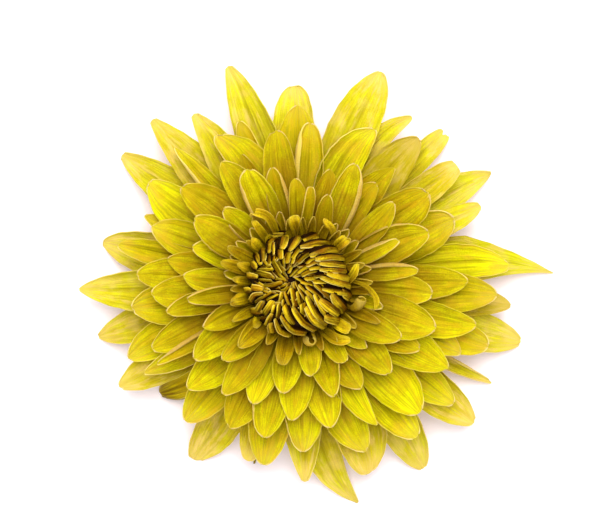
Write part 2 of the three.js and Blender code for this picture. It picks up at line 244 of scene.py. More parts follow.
BLADE = {
    "width": 8.0,  # at the widest place, as seen from above
    "claw": 0.14,  # width of the root end, as a share of the width
    "widest": 0.66,  # where the full width is reached
    "tip": (0.66, 2.2, 2.0, 0.12, 0.9, 0.0),
    "cup": 16.0,  # further slope at each edge, growing from the midline out
    "keel": 2.0,  # slope on each side of the midline
    "rim": 22.0,  # further slope of the very edge
    "claw_cup": 60.0,  # the cup at the root
    "left": 0.0,  # further curl of the left part, looking out from the root
    "right": 0.0,
    "roll": 0.0,  # turn about the midline, from the root on
    "twist": 0.0,  # further turn, growing toward the tip
    "lean": 0.0,  # how far the tip sits to the right of the body, in half widths
    "wave": 0.12,  # height of the waves in the edges
    "nick": 0.03,  # unevenness of the outline, as a share of the width
    "ridge": 0.07,  # height of the ridges between its lengthwise grooves
    "thick": 0.32,  # away from the edges
    # The tone is partly the blade's own lightness, which differs at random, and partly painted shade and
    # light: blades that lie deep in shadow get darker tones, and some in shade lighter ones.
    "tone": 0.0,  # lightness, from about -2 to 1.5
    # The side shading below is painted light and shade: the raised left edge is lighter, as if lit, and the
    # right part darker, as if in the shadow of the blade that lies over it.
    "side_tone": 0.0,  # how much lighter the left edge is than the middle, and the right edge darker
    "floor": 0.0,  # lowest height of the upper face
}
# A tip is where the blade starts to close, the power and root of its round, its blunt end as a share of the
# width, the round of that end, and the depth of a notch in millimetres.

# Where the parts of a blade's form start and how far they go on, along it from 0 at the root to 1 at the tip,
# or across it from 0 at the midline to 1 at the edge.
OPEN_BY = 0.4  # the channelled root has opened and the edge waves in full
CURL_START, CURL_LENGTH, CURL_OUT = 0.2, 0.25, 0.4
RIM_START, RIM_WIDTH = 0.82, 0.18
SWAY_BY, SWAY_BACK = 0.5, 0.6
GROOVE_START, GROOVE_LENGTH = 0.25, 0.3
END_START, END_LENGTH = 0.8, 0.2  # a curl opens and the end is rounded
NOTCH_START, NOTCH_LENGTH, NOTCH_WIDTH = 0.86, 0.14, 0.25
END_OPENING = 0.7  # how much of a curl opens toward the end
NICKS = (23, 37)  # two rates, in radians over the length, that nick the edge unevenly between them
WAVES, WAVE_SHIFT = 9, 2.3  # the same for the waves, and how far the left edge's are ahead
STEP = 0.002  # how far ahead and back along a line its direction is taken
EDGE_CROWDING, TIP_CROWDING = 0.4, 1.8
# From and to which distance to the edge a blade has which share of its thickness.
EDGE_BANDS = [(-1, 0.01, 0.25), (0.01, 0.35, 0.7), (0.35, 1e9, 1.0)]


def blade_grid(blank):
    """The order of the blank's points, row by row from the root, and where its columns and rows go: across
    the blade from -1 on the left to 1, and along it from 0 to 1, crowded toward the edges and the tip."""
    flat = np.empty(3 * len(blank.data.vertices))
    blank.data.vertices.foreach_get("co", flat)
    flat = flat.reshape(-1, 3)
    order = np.lexsort((flat[:, 0].round(5), flat[:, 1].round(5)))
    rows = len(set(flat[:, 1].round(5)))
    across = flat[order, 0].reshape(rows, -1)[0]
    along = flat[order, 1].reshape(rows, -1)[:, 0]
    across = (1 - EDGE_CROWDING) * across + EDGE_CROWDING * np.sin(across * np.pi / 2)
    return order, across, 1 - (1 - along) ** TIP_CROWDING


def width_share(part, along):
    """Width of the blade in each row, as a share of its full width."""
    start, power, root, end, _, _ = part["tip"]
    closing = (1 - np.clip((along - start) / (1 - start), 0, 1) ** power) ** (1 / root)
    return (part["claw"] + (1 - part["claw"]) * smooth(along / part["widest"])) * (end + (1 - end) * closing)


def cross_sections(part, across, along):
    """The bent section of each row: how far out its points lie from the midline and how far above it."""
    between = (across[1:] + across[:-1]) / 2
    out = np.abs(between)
    cup = part["cup"] + (part["claw_cup"] - part["cup"]) * (1 - smooth(along / OPEN_BY))[:, None]
    curl = smooth((out - CURL_OUT) / (1 - CURL_OUT)) * np.where(between < 0, part["left"], part["right"])
    opening = 1 - END_OPENING * smooth((along - END_START) / END_LENGTH)
    curl_share = (smooth((along - CURL_START) / CURL_LENGTH) * opening)[:, None]
    rim = part["rim"] * smooth((out - RIM_START) / RIM_WIDTH)
    slope = np.radians(part["keel"] + cup * out + rim + curl * curl_share) * np.sign(between)
    middle = len(across) // 2
    for steps in (np.cos(slope) * np.diff(across), np.sin(slope) * np.diff(across)):
        places = np.hstack([np.zeros((len(along), 1)), np.cumsum(steps, axis=1)])
        yield places - places[:, middle : middle + 1]


def directions(part, line, side, along):
    """The blade's forward, right and upward directions, row by row."""
    forward = unit(line(along + STEP) - line(along - STEP))
    right = unit(side - forward * (forward @ side)[:, None])
    up = np.cross(right, forward)
    turn = np.radians(part["roll"] + part["twist"] * along[:, None])
    return forward, right * np.cos(turn) + up * np.sin(turn), up * np.cos(turn) - right * np.sin(turn)


def edge_distance(sheet_x, sheet_y):
    """How far each point of the blade, laid out flat, is from its sides and its tip."""
    edge_x, edge_y = (np.concatenate([flat[:, 0], flat[:, -1], flat[-1]]) for flat in (sheet_x, sheet_y))
    return np.hypot(sheet_x[..., None] - edge_x, sheet_y[..., None] - edge_y).min(axis=2)


def lay_blade(blank, name, line, side, shape):
    """Copies the blank and lays it along line, a function from 0 at the root to 1 at the tip. side points to
    its right, looking out from the root. Writes where each point is on the blade as two attributes."""
    part = {**BLADE, **shape}
    order, across, along = blade_grid(blank)
    s, left, edge = along[:, None], across < 0, np.abs(across)
    share = width_share(part, along)[:, None]
    half = share * part["width"] / 2
    run, rise = cross_sections(part, across, along)
    spread = np.abs(run).max(axis=1, keepdims=True)
    run, rise = run * half / spread, rise * half / spread

    sway = smooth(s / SWAY_BY) * (1 - np.clip((s - SWAY_BACK) / (1 - SWAY_BACK), 0, 1) ** 3)
    run = run - part["lean"] * part["width"] / 2 * sway
    phase = rng.uniform(0, 2 * np.pi)
    nicks = np.sin(NICKS[0] * s + phase * (2 + left)) * np.sin(NICKS[1] * s - phase)
    run = run * (1 + part["nick"] * nicks)
    waves = np.sin(phase + WAVES * s + WAVE_SHIFT * left)
    ridges = np.cos(3 * np.pi * across) * (1 - edge**4) * smooth((s - GROOVE_START) / GROOVE_LENGTH)
    rise = rise + part["wave"] * waves * edge**3 * smooth(s / OPEN_BY) - part["ridge"] * ridges * share
    *_, arc, notch = part["tip"]
    drift = -arc * half[-1] * edge**2 * smooth((s - END_START) / END_LENGTH)
    dip = notch * np.exp(-((across / NOTCH_WIDTH) ** 2))
    drift = drift - dip * smooth((s - NOTCH_START) / NOTCH_LENGTH)

    spine = line(along)
    forward, right, up = (way[:, None, :] for way in directions(part, line, side, along))
    points = spine[:, None, :] + right * run[..., None] + up * rise[..., None] + forward * drift[..., None]
    points[..., 2] = np.maximum(points[..., 2], part["floor"])
    piece = blank.copy()
    piece.data = blank.data.copy()
    piece.name = name
    bpy.context.scene.collection.objects.link(piece)
    placed = np.empty((len(order), 3))
    placed[order] = points.reshape(-1, 3) * MM
    piece.data.vertices.foreach_set("co", placed.ravel())

    length = np.linalg.norm(np.diff(spine, axis=0), axis=1).sum()
    sheet_y = s * length + drift
    margin = edge_distance(across * half / spread, sheet_y)
    marks = {
        "grain": (across * part["width"] / 2, sheet_y, rng.uniform(0, 60)),
        # The third value is the tone, with the painted side shading across the blade added in.
        "place": (s, margin, part["tone"] - part["side_tone"] * across),
    }
    for label, columns in marks.items():
        placed[order] = np.stack(np.broadcast_arrays(*columns), axis=-1).reshape(-1, 3)
        piece.data.attributes.new(label, "FLOAT_VECTOR", "POINT").data.foreach_set("vector", placed.ravel())
    group = piece.vertex_groups.new(name="thickness")
    for low, high, weight in EDGE_BANDS:
        band = order[(margin.ravel() > low) & (margin.ravel() <= high)]
        group.add(band.tolist(), weight, "REPLACE")
    piece["thick"] = part["thick"]
    return piece


def thicken(piece, materials):
    """Gives a laid blade its thickness below the laid face, and a material to each face and to the rim."""
    for material in materials:
        piece.data.materials.append(material)
    solid = piece.modifiers.new("thickness", "SOLIDIFY")
    solid.thickness = piece["thick"] * MM
    solid.offset = -1
    solid.vertex_group = "thickness"
    solid.material_offset = 1
    solid.material_offset_rim = 2
    bpy.ops.object.select_all(action="DESELECT")
    piece.select_set(True)
    bpy.context.view_layer.objects.active = piece
    bpy.ops.object.modifier_apply(modifier=solid.name)
    bpy.ops.object.shade_smooth_by_angle(angle=np.radians(50))


def right_of(azimuth):
    """The direction to the right, looking out from the axis along an azimuth."""
    turn = np.radians(azimuth)
    return np.array([np.sin(turn), -np.cos(turn), 0])


def maths(tree, operation, *numbers, clamp=False):
    """The output of one Math node."""
    inputs = dict(enumerate(numbers))
    return add_node(tree, "ShaderNodeMath", inputs, operation=operation, use_clamp=clamp).outputs[0]


def pattern_group():
    """Veins, stains and masks that every blade shares, worked out from where a point is on its blade."""
    tree = bpy.data.node_groups.new("blade_pattern", "ShaderNodeTree")
    for label in ("Grain", "Place"):
        tree.interface.new_socket(label, in_out="INPUT", socket_type="NodeSocketVector")
    for label in ("Vein Scale", "Rim Width"):
        tree.interface.new_socket(label, in_out="INPUT", socket_type="NodeSocketFloat")
    given = add_node(tree, "NodeGroupInput")
    along, margin, tone = add_node(tree, "ShaderNodeSeparateXYZ", {0: given.outputs["Place"]}).outputs
    x, y, seed = add_node(tree, "ShaderNodeSeparateXYZ", {0: given.outputs["Grain"]}).outputs

    def times(first, second):
        return maths(tree, "MULTIPLY", first, second)

    def scale_add(value, factor, rest, clamp=False):
        """The value times the factor, plus the rest."""
        return maths(tree, "MULTIPLY_ADD", value, factor, rest, clamp=clamp)

    def ramp(value, *numbers):
        return ranged(tree, value, *numbers)

    def drawn_out(across, lengthwise, **numbers):
        """Noise at its own scales across and along the blade."""
        spot = add_node(tree, "ShaderNodeCombineXYZ", {0: across, 1: lengthwise, 2: seed}).outputs[0]
        return noise(tree, spot, 1.0, **numbers)

    def even(scale):
        return noise(tree, given.outputs["Grain"], scale, Detail=3.0)

    fine = times(x, given.outputs["Vein Scale"])
    veins = drawn_out(fine, times(y, 0.09), Detail=3.0, Roughness=0.65)
    broad = drawn_out(times(fine, 0.3), times(y, 0.05), Detail=1.0)
    streaks = drawn_out(times(x, 0.7), times(y, 0.2), Detail=4.0, Roughness=0.6)
    blotches, speckle, blush = even(0.35), even(3.5), even(0.2)
    midrib = times(ramp(maths(tree, "ABSOLUTE", x), 0.5, 0.08), ramp(along, 0.98, 0.75))

    depth = scale_add(tone, -0.5, -0.6)
    depth = scale_add(ramp(broad, 0.4, 0.6), 0.28, depth)
    depth = scale_add(ramp(blotches, 0.36, 0.64), 0.45, depth)
    depth = scale_add(ramp(margin, 0.1, 1.6), 0.22, depth)
    depth = scale_add(speckle, 1.3, depth, clamp=True)
    ragged = scale_add(veins, 0.35, maths(tree, "ADD", along, -0.17))
    # Darker toward the root: partly the blade's own ochre base, partly painted shade where the blade runs
    # under the ones above it.
    shaded = scale_add(broad, 0.3, maths(tree, "ADD", along, -0.15))
    rim_width = times(given.outputs["Rim Width"], scale_add(blotches, 3.0, -0.4))
    rim = times(ramp(margin, 0.02, rim_width, 1.0, 0.0), ramp(along, 0.5, 1.0, 0.15, 1.0))
    # The pale rim fades out on dark-toned blades: painted shade, for rims that lie in shadow.
    rim = times(rim, ramp(tone, -1.2, -0.2, 0.05, 1.0))
    outputs = {
        "Depth": depth,
        "Veins": ramp(veins, 0.4, 0.62),
        "Stains": maths(tree, "MAXIMUM", ramp(streaks, 0.48, 0.68), ramp(blush, 0.5, 0.72, 0, 0.8)),
        "Midrib": midrib,
        "RootTintAndShade": ramp(shaded, 0.92, 0.45),
        "Tip": ramp(ragged, 0.84, 1.02),
        "Margin": times(rim, ramp(streaks, 0.38, 0.62, 0.2, 1.0)),
        # Tones under -0.9 go over to the dark root colour: painted shade.
        "Shade": ramp(tone, -0.9, -1.9),
        "Height": scale_add(midrib, -0.8, scale_add(broad, 1.5, scale_add(speckle, 0.7, veins))),
    }
    for label in outputs:
        tree.interface.new_socket(label, in_out="OUTPUT", socket_type="NodeSocketFloat")
    add_node(tree, "NodeGroupOutput", outputs)
    return tree


BLADE_PATTERN = pattern_group()


def blade_material(
    name, colours, strengths, roughness=0.5, vein_scale=2.9, rim_width=0.24, relief=0.7, **constants
):
    """Finish of one face of a blade. colours are light, deep, veins, stains, midrib and heart, tip, margin.
    strengths are those of the veins, the stains, the midrib, the heart, the tip and the margin. The heart
    layer darkens the root end, partly for the blade's own ochre base and partly as painted shade under the
    blades above it. A tone under -1 goes over to the colour of the heart, as painted shade for blades deep in
    shadow."""
    material, tree, shader = new_material(name, roughness, **constants)
    light, deep, vein, stain, heart, tip, margin = (paint(code) for code in colours)
    inputs = {"Vein Scale": vein_scale, "Rim Width": rim_width}
    for label in ("Grain", "Place"):
        attribute = add_node(tree, "ShaderNodeAttribute", attribute_name=label.lower())
        inputs[label] = attribute.outputs["Vector"]
    pattern = add_node(tree, "ShaderNodeGroup", inputs, node_tree=BLADE_PATTERN)

    colour = mixed(tree, pattern.outputs["Depth"], light, deep)
    labels = ("Veins", "Stains", "Midrib", "RootTintAndShade", "Tip", "Margin", "Shade")
    layers = (vein, stain, heart, heart, tip, margin, heart)
    for label, layer, strength in zip(labels, layers, (*strengths, 1.0)):
        share = maths(tree, "MULTIPLY", pattern.outputs[label], strength, clamp=True)
        colour = mixed(tree, share, colour, layer)
    tree.links.new(colour, shader.inputs["Base Color"])
    heights = {"Height": pattern.outputs["Height"], "Strength": relief, "Distance": 0.00035}
    tree.links.new(add_node(tree, "ShaderNodeBump", heights).outputs[0], shader.inputs["Normal"])
    return material


fine_blank = blade_blank("fine_blank", 20, 30)
plain_blank = blade_blank("plain_blank", 14, 24)
small_blank = blade_blank("small_blank", 10, 20)

BRACT_COUNT = 13
BRACT_ROOT_R = 5.6
BRACT_ROWS = {"inner": (12, 3.4, 8), "outer": (10, 3, 6.75)}  # reach, width, height of the root
BRACT_RISE = 1.3  # from root to tip
BRACT_COLOURS = ("7d8f3c", "56702a", "a3ad5c", "6e7a34", "5f7a30", "8c8a45", "b89a5e")
bract_faces = [
    blade_material(f"bract_{face}", BRACT_COLOURS, (0.4, 0.3, midrib, 0.3, 0.3, 0.7), vein_scale=3.0)
    for face, midrib in (("inside", 0.4), ("outside", 0.4), ("edge", 0))
]


def bract_line(azimuth, reach, root_z):
    turn = np.radians(azimuth)

    def line(s):
        r = BRACT_ROOT_R + (reach - BRACT_ROOT_R) * s
        z = root_z + BRACT_RISE * np.sin(s * np.pi / 2)
        return AXIS + np.stack([r * np.cos(turn), r * np.sin(turn), z], axis=-1)

    return line


for row, (reach, width, root_z) in BRACT_ROWS.items():
    for i in range(BRACT_COUNT):
        azimuth = 360 / BRACT_COUNT * (i if row == "inner" else i + 0.5)
        shape = {
            "width": width,
            "claw": 0.8,
            "tip": (0.35, 1.8, 1.2, 0.08, 0.9, 0),
            "cup": 18 + rng.uniform(-4, 4),
            "keel": 8,
            "claw_cup": 15,
            "thick": 0.3,
            "wave": 0.06,
            "tone": rng.uniform(-0.6, 0.6),
        }
        line = bract_line(azimuth, reach * rng.uniform(0.94, 1), root_z)
        bract = lay_blade(small_blank, f"{row}_bract_{i + 1:02d}", line, right_of(azimuth), shape)
        thicken(bract, bract_faces)
        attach(bract, "root")
        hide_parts("involucre_bracts")

# ---------------------------------------------------------------- small leaves
# Two small leaves grow from the stalk just under the head and lie under the florets. One is folded along its
# midrib and wilted, with a curled brown end. Only the dark point of the other shows past the florets.
LEAF_ROOT_R = 2.4
LEAF_ROOT_Z = 4
LEAF_ARCH = 2.4  # how far a leaf arches up between its root and its tip
# The face colours are much yellower and lighter than the olive back: partly the leaf's own colour, partly
# painted light that makes up for the shade the leaf lies in under the florets.
LEAF_LIT_COLOURS = ("f4e014", "ccb608", "988c04", "bc9008", "867e08", "6c4408", "ecdc80")
LEAF_BACKS = ("b4a83a", "928a26", "76721e", "8a7626", "6c6c26", "5c3c14", "c0b468")
LEAF_SKIN = {"vein_scale": 1.4, "Specular_IOR_Level": 0.25, "Specular_Tint": (1.0, 0.9, 0.4, 1.0)}
leaf_faces = [
    blade_material("leaf_face", LEAF_LIT_COLOURS, (0.3, 0.4, 0.4, 0.2, 0.8, 0.5), roughness=0.35, **LEAF_SKIN),
    blade_material("leaf_back", LEAF_BACKS, (0.3, 0.4, 0.4, 0.2, 0.8, 0.5), roughness=0.4, **LEAF_SKIN),
    blade_material("leaf_edge", LEAF_LIT_COLOURS, (0.3, 0.4, 0, 0.2, 0.8, 0.5), roughness=0.45, **LEAF_SKIN),
]
LEAVES = {
    "folded_leaf": {
        "azimuth": 218.5,
        "reach": 35.4,
        "tip_z": 0.9,
        "shape": {
            "width": 8.4,
            "keel": 24,
            "cup": 20,
            "left": 60,
            "lean": 0.5,
            "wave": 1.0,
            "tip": (0.5, 2.2, 1.6, 0.3, 0.9, 0),
        },
    },
    "small_leaf": {
        "azimuth": 256.2,
        "reach": 37.3,
        "tip_z": 0.7,
        "shape": {"width": 5.5, "keel": 15, "cup": 15, "wave": 0.3, "tip": (0.45, 1.4, 1.1, 0.04, 0.9, 0)},
    },
}


def leaf_line(azimuth, reach, tip_z):
    turn = np.radians(azimuth)

    def line(s):
        r = LEAF_ROOT_R + (reach - LEAF_ROOT_R) * s
        arch = LEAF_ARCH * np.sin(np.pi * np.clip(s, 0, 1) ** 0.8)
        z = LEAF_ROOT_Z + (tip_z - LEAF_ROOT_Z) * s + arch
        return AXIS + np.stack([r * np.cos(turn), r * np.sin(turn), z], axis=-1)

    return line


for name, leaf in LEAVES.items():
    line = leaf_line(leaf["azimuth"], leaf["reach"], leaf["tip_z"])
    shape = {"claw": 0.2, "thick": 0.35, "floor": 0.4, "ridge": 0.1, **leaf["shape"]}
    piece = lay_blade(fine_blank, f"wilted_{name}", line, right_of(leaf["azimuth"]), shape)
    thicken(piece, leaf_faces)
    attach(piece, "root")
    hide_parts(name)

# ---------------------------------------------------------------- outer florets
# The lowest ray florets are the oldest: long soft straps of lemon yellow with pale margins, two or three
# shallow grooves and worn tips. They droop, and the lowest of them touch the surface.
TIPS = {
    "round": (0.62, 2.2, 2.0, 0.12, 0.9, 0.0),
    "soft": (0.6, 2.1, 1.6, 0.1, 0.9, 0.0),
    "slim": (0.6, 2.1, 1.4, 0.05, 0.9, 0.0),
    "oval": (0.56, 2.0, 1.4, 0.09, 0.9, 0.0),
    "blunt": (0.6, 2.3, 1.5, 0.24, 0.7, 0.0),
    "square": (0.62, 3.0, 1.7, 0.36, 0.3, 0.0),
    "point": (0.54, 1.9, 1.25, 0.05, 0.8, 0.0),
    "long": (0.58, 1.0, 1.0, 0.02, 0.8, 0.0),
    "taper": (0.5, 1.7, 1.2, 0.14, 0.7, 0.0),
    "notch": (0.62, 2.8, 1.7, 0.4, 0.2, 0.8),
}
CLIMB_SHARE = 0.35  # part of its length in which a floret climbs from a shared seat to its own level
SHARED_SEAT_GAP = 0.3
LIFT_START, LIFT_LENGTH = 0.62, 0.38  # the part that curves up toward the tip


def floret_line(azimuth, reach, level, bend, root_level, lift):
    """The midline of a floret, from its seat on the receptacle to its tip. root_level is that of the seat
    which its whorl shares, if it has one."""
    root_r = seat_r(level) if root_level is None else seat_r(root_level) + SHARED_SEAT_GAP
    root_level = level if root_level is None else root_level

    def line(s):
        r = root_r + (reach - root_r) * s
        here = root_level + (level - root_level) * smooth(s / CLIMB_SHARE)
        settle = level_z(0, reach) * s**3 if level == 0 else 0
        turn = np.radians(azimuth + bend * np.clip(1 - s, 0, 1) ** 1.5)
        z = level_z(here, r) - settle + lift * np.clip((s - LIFT_START) / LIFT_LENGTH, 0, 1) ** 2
        return AXIS + np.stack([r * np.cos(turn), r * np.sin(turn), z], axis=-1)

    return line


OUTER_COLOURS = ("dcd91c", "c8b216", "988e06", "ecca76", "8f7c04", "eccc70", "eaca7c")
OUTER_BACKS = ("ead678", "d8c058", "c0a440", "dcb468", "a0842a", "ead094", "ecd49c")
PETAL = {
    "Specular_IOR_Level": 0.3,
    "Specular_Tint": (1.0, 0.8, 0.15, 1.0),
    "Subsurface_Weight": 0.15,
    "Subsurface_Scale": 0.0008,
    "Subsurface_Radius": (1.0, 0.7, 0.1),
}
outer_faces = [
    blade_material("outer_face", OUTER_COLOURS, (0.5, 0.55, 0.4, 0.6, 0.6, 0.5), **PETAL),
    blade_material("outer_back", OUTER_BACKS, (0.5, 0.3, 0.2, 0.5, 0.4, 0.3), **PETAL),
    blade_material("outer_edge", OUTER_COLOURS, (0.2, 0.2, 0, 0.5, 0.5, 0.5), **PETAL),
]


def ray(azimuth, reach, width, level, bend=0, tip="soft", **traits):
    """One ray floret: azimuth and reach of its tip, width, level, how far round its root is from its tip, and
    the form of its tip. traits are what else sets it apart, in the words of BLADE."""
    traits = {"width": width, **traits}
    return {"azimuth": azimuth, "reach": reach, "level": level, "bend": bend, "tip": tip, "traits": traits}


# Many tones here and in the tables below are painted light and shade as well as the florets' own differences:
# they lighten florets that lie in shadow, such as the first, and darken others.
OUTER_FLORETS = [
    ray(
        2.6, 51.35, 10.3, 0, 8, "long",
        lean=0.4, ridge=0.2, tone=1.4, roll=9, twist=0, cup=5, keel=-3, left=0,
    ),
    ray(23.1, 39.5, 5.9, 0.8, 0, "blunt", lean=-0.1),
    ray(29.8, 44.8, 8.4, 0, 0, "point", lean=0.2, tone=1.1),
    ray(36.8, 39.4, 6.2, 0.8, 0, "square", tone=-0.7),
    ray(45.9, 42.4, 5.1, 0, 1, "notch", lean=0.1),
    ray(50.5, 37.6, 8.4, 1.6, lean=0.15, tone=-1.3),
    ray(55.8, 40.3, 5.2, 0.8, 7, lean=1.1),
    ray(68.6, 45.4, 10, 1.6, 9, tone=0.4, cup=10),
    ray(91.2, 39.9, 8.8, 0, -1, "round", tone=0.5),
    ray(107.7, 45.7, 9.4, 0.8, -6, "taper", lean=-0.15, tone=0.5),
    ray(121.4, 39.6, 8.8, 1.6, -2, "taper", lean=-0.15),
    ray(131.5, 43.8, 8.8, 0.8, 0, "taper", lean=-0.05),
    ray(143.8, 43.9, 9.4, 0, 0, "taper", lean=-0.05),
    ray(168.1, 40.2, 8.7, 0, 0, "slim"),
    ray(181.2, 43.6, 9.3, 0.8, 0, "point", lean=0.1),
    ray(194.8, 41.5, 9.6, 0, -1, "point", keel=14, cup=12, roll=-8, right=0),
    ray(209.9, 41, 9, 0.8, -2, "oval", lean=0.1, tone=-0.4),
    ray(239.5, 41.1, 9, 0, 0, "blunt", lean=0.1),
    ray(254.2, 36.5, 7, 0.8, 0, "blunt"),
    ray(272, 39.3, 9, 0.8, 0, "taper", lean=0.05, roll=-5),
    ray(285.1, 45.7, 9, 0, -5, "point", lean=-0.75, tone=0.2, roll=-12, cup=12),
    ray(290.5, 40.3, 10.3, 0.8, 0, "round", lean=0.25, tone=-0.6),
    ray(304.2, 44.9, 9, 0, 5, lean=0.15, roll=-6),
    ray(321.7, 44.7, 8.9, 0.8, keel=12, cup=10),
    ray(333, 43.7, 3.3, 0, 0, "point", lean=-0.2, left=130, cup=30),
    ray(345.4, 46.3, 8.8, 0, lean=-0.05, tone=0.4),
    ray(354.5, 42.6, 6.8, 0.8, tone=-1.25),
]
# From and to which value a floret's form varies, where its traits don't say. A curl under 0 is none.
VARIETY = {
    "cup": (15, 28),
    "keel": (1, 7),
    "left": (-40, 45),
    "right": (-40, 45),
    "roll": (-9, 9),
    "twist": (-9, 9),
    "wave": (0.08, 0.28),
    "tone": (-0.4, 0.4),
}
GROOVE_SHARE = 0.009  # depth of a floret's grooves, as a share of its width
RESTING_LIFT, FREE_LIFT = (0, 0.4), (0.2, 1.5)  # how far a tip curves up, on the surface and above it
LEAST_Z = 0.34  # of the upper face, which keeps the thickness below it off the surface


def lay_floret(blank, name, floret, faces, node, whorl_traits=None, root_level=None):
    """Lays, finishes and places one floret. whorl_traits are those that its whorl shares, and root_level is
    that of the whorl's shared seat, if it has one."""
    level, traits = floret["level"], floret["traits"]
    shape = {trait: rng.uniform(*limits) for trait, limits in VARIETY.items()}
    shape["left"], shape["right"] = max(0, shape["left"]), max(0, shape["right"])
    shape.update(tip=TIPS[floret["tip"]], ridge=GROOVE_SHARE * traits["width"], floor=LEAST_Z)
    lift = rng.uniform(*(RESTING_LIFT if level == 0 else FREE_LIFT))
    line = floret_line(floret["azimuth"], floret["reach"], level, floret["bend"], root_level, lift)
    shape = {**shape, **(whorl_traits or {}), **traits}
    piece = lay_blade(blank, name, line, right_of(floret["azimuth"]), shape)
    thicken(piece, faces)
    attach(piece, "root")
    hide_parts(node)


for number, floret in enumerate(OUTER_FLORETS, 1):
    name, node = f"outer_ray_{number:02d}", f"outer_floret_{number:02d}"
    lay_floret(fine_blank, name, floret, outer_faces, node)

# ---------------------------------------------------------------- second florets
# The florets of the next ring grow just above the first and lie over their roots. They are a little shorter
# and deeper in colour, and end in blunter, cleaner rims.
SECOND_COLOURS = ("e1dd04", "c0aa04", "8c8600", "dca828", "7a6202", "dcbe48", "eacc74")
second_faces = [
    blade_material("second_face", SECOND_COLOURS, (0.55, 0.45, 0.3, 0.55, 0.4, 0.65), **PETAL),
    blade_material("second_back", OUTER_BACKS, (0.5, 0.3, 0.2, 0.5, 0.4, 0.3), **PETAL),
    blade_material("second_edge", SECOND_COLOURS, (0.2, 0.2, 0, 0.5, 0.5, 0.6), **PETAL),
]
SECOND_FLORETS = [
    ray(5.2, 42, 7.4, 2.4, 2, "blunt", lean=0.35, tone=1.2, cup=12, roll=5),
    ray(22.9, 33.4, 8.5, 3, 0, "round"),
    ray(64, 34.2, 8, 2.4, 5, lean=0.6, tone=0.5),
    ray(85.7, 31.9, 6, 3.2, 0, "round", left=130, cup=30, tone=-0.9),
    ray(90, 35.4, 9, 2.4, tone=-0.8, cup=12, left=0, right=0),
    ray(109.8, 34.2, 5, 2, -3, right=60, left=0, cup=22, tone=-1.1),
    ray(118.6, 33.5, 9, 3.2, -4, lean=-0.5),
    ray(131.9, 36.3, 4.6, 2.4, 0, "point", left=110, cup=30),
    ray(145.7, 35.8, 9.2, 2.4, -3, lean=0.3, tone=0.5, roll=6, left=0, cup=14),
    ray(158.3, 30.9, 8, 3.2, tone=-0.4),
    ray(155.8, 33.2, 6, 1.6, 4, "point", tone=-0.8),
    ray(188, 33.1, 9, 3.2, tone=-0.5),
    ray(203.5, 36.6, 8, 2.4, lean=-0.3),
    ray(210, 35, 6.2, 3.2, 0, "point", lean=0.2),
    ray(230.6, 35, 8.6, 2.4, tone=-0.5),
    ray(259.2, 36.4, 8.8, 2.4, lean=-0.1, tone=-0.2),
    ray(271.7, 33, 8.5, 3.2),
    ray(292, 35.6, 9, 2.4, lean=-0.3),
    ray(307.8, 38.2, 8, 3.2, 0, "blunt", lean=-0.2),
    ray(322.5, 38.8, 8, 2.4, tone=0.5),
    ray(337.4, 34.9, 7, 3.2, lean=0.2, tone=-0.4),
    ray(342, 39.6, 8, 2.4, 2, "round", tone=-0.5),
    ray(357, 39.3, 8.5, 3.2, tone=-0.7),
    ray(167.5, 36.4, 5.5, 2.4, keel=14, tone=-0.4),
]
for number, floret in enumerate(SECOND_FLORETS, 1):
    name, node = f"second_ray_{number:02d}", f"second_floret_{number:02d}"
    lay_floret(fine_blank, name, floret, second_faces, node)

# ---------------------------------------------------------------- third, fourth and fifth whorls
# Shorter florets lie over one another like scales, olive gold with a thin cream rim. Some stay folded or
# channelled, so that a strip of their pale back shows. Their roots are packed side by side on the receptacle.
MIDDLE_COLOURS = ("e3de02", "b29c00", "766c00", "cc9612", "6c4204", "d4b824", "ecd068")
MIDDLE_BACKS = ("dcc264", "c09c44", "a4842c", "c8964c", "7c5e18", "e4cc90", "e4cc84")
middle_faces = [
    blade_material("middle_face", MIDDLE_COLOURS, (0.5, 0.4, 0, 0.65, 0.3, 0.7), vein_scale=3.1, **PETAL),
    blade_material("middle_back", MIDDLE_BACKS, (0.5, 0.3, 0.1, 0.5, 0.3, 0.3), vein_scale=3.5, **PETAL),
    blade_material("middle_edge", MIDDLE_COLOURS, (0.2, 0.3, 0, 0.7, 0.3, 0.5), vein_scale=3.5, **PETAL),
]
THIRD_FLORETS = [
    ray(1, 33.4, 7, 4.4),
    ray(35, 31.2, 9, 5.2, 2, "round"),
    ray(50.5, 29.7, 7, 4.4, 0, "point", tone=-0.8),
    ray(98, 30.5, 6.8, 4.4, 0, "round", tone=-0.7),
    ray(113.4, 27.7, 4.5, 4.4, cup=30, left=0, roll=8, tone=-1.2),
    ray(122, 28.3, 6.5, 5.2, -3, tone=-0.4),
    ray(139.9, 29.8, 7.5, 4.4, -4, tone=-0.7),
    ray(169.2, 26, 6.5, 5.2, tone=-0.9, roll=5, cup=14, left=0),
    ray(176.4, 31.7, 7.5, 4.4, roll=-6, cup=13),
    ray(183.6, 28.7, 7.5, 5.7),
    ray(203.8, 31.3, 7.8, 4.4, -2, tone=-0.2, roll=-5, cup=14),
    ray(209.5, 31.6, 3.4, 5.7, 0, "point", right=160, cup=30, tone=-0.4),
    ray(223.4, 29.7, 8.2, 4.4, tone=0.5),
    ray(244.6, 31.2, 8.2, 4.4, tone=-0.7, roll=5, cup=14, left=0),
    ray(257.6, 30.7, 8.2, 5.2, right=70, tone=0.3),
    ray(267.3, 26.6, 7.5, 6, tone=0.4),
    ray(282.9, 28.7, 7.5, 5.2, tone=0.7),
    ray(299.2, 31.6, 6, 5.2, -2, "point", lean=-0.4, right=50, cup=6, tone=1.5),
    ray(313.6, 34.8, 9.5, 4.4, -2, "blunt", tone=1.2),
    ray(330.8, 33.7, 9, 5.2, tone=0.6),
    ray(347, 35.9, 7.5, 4.4, tone=0.6),
]
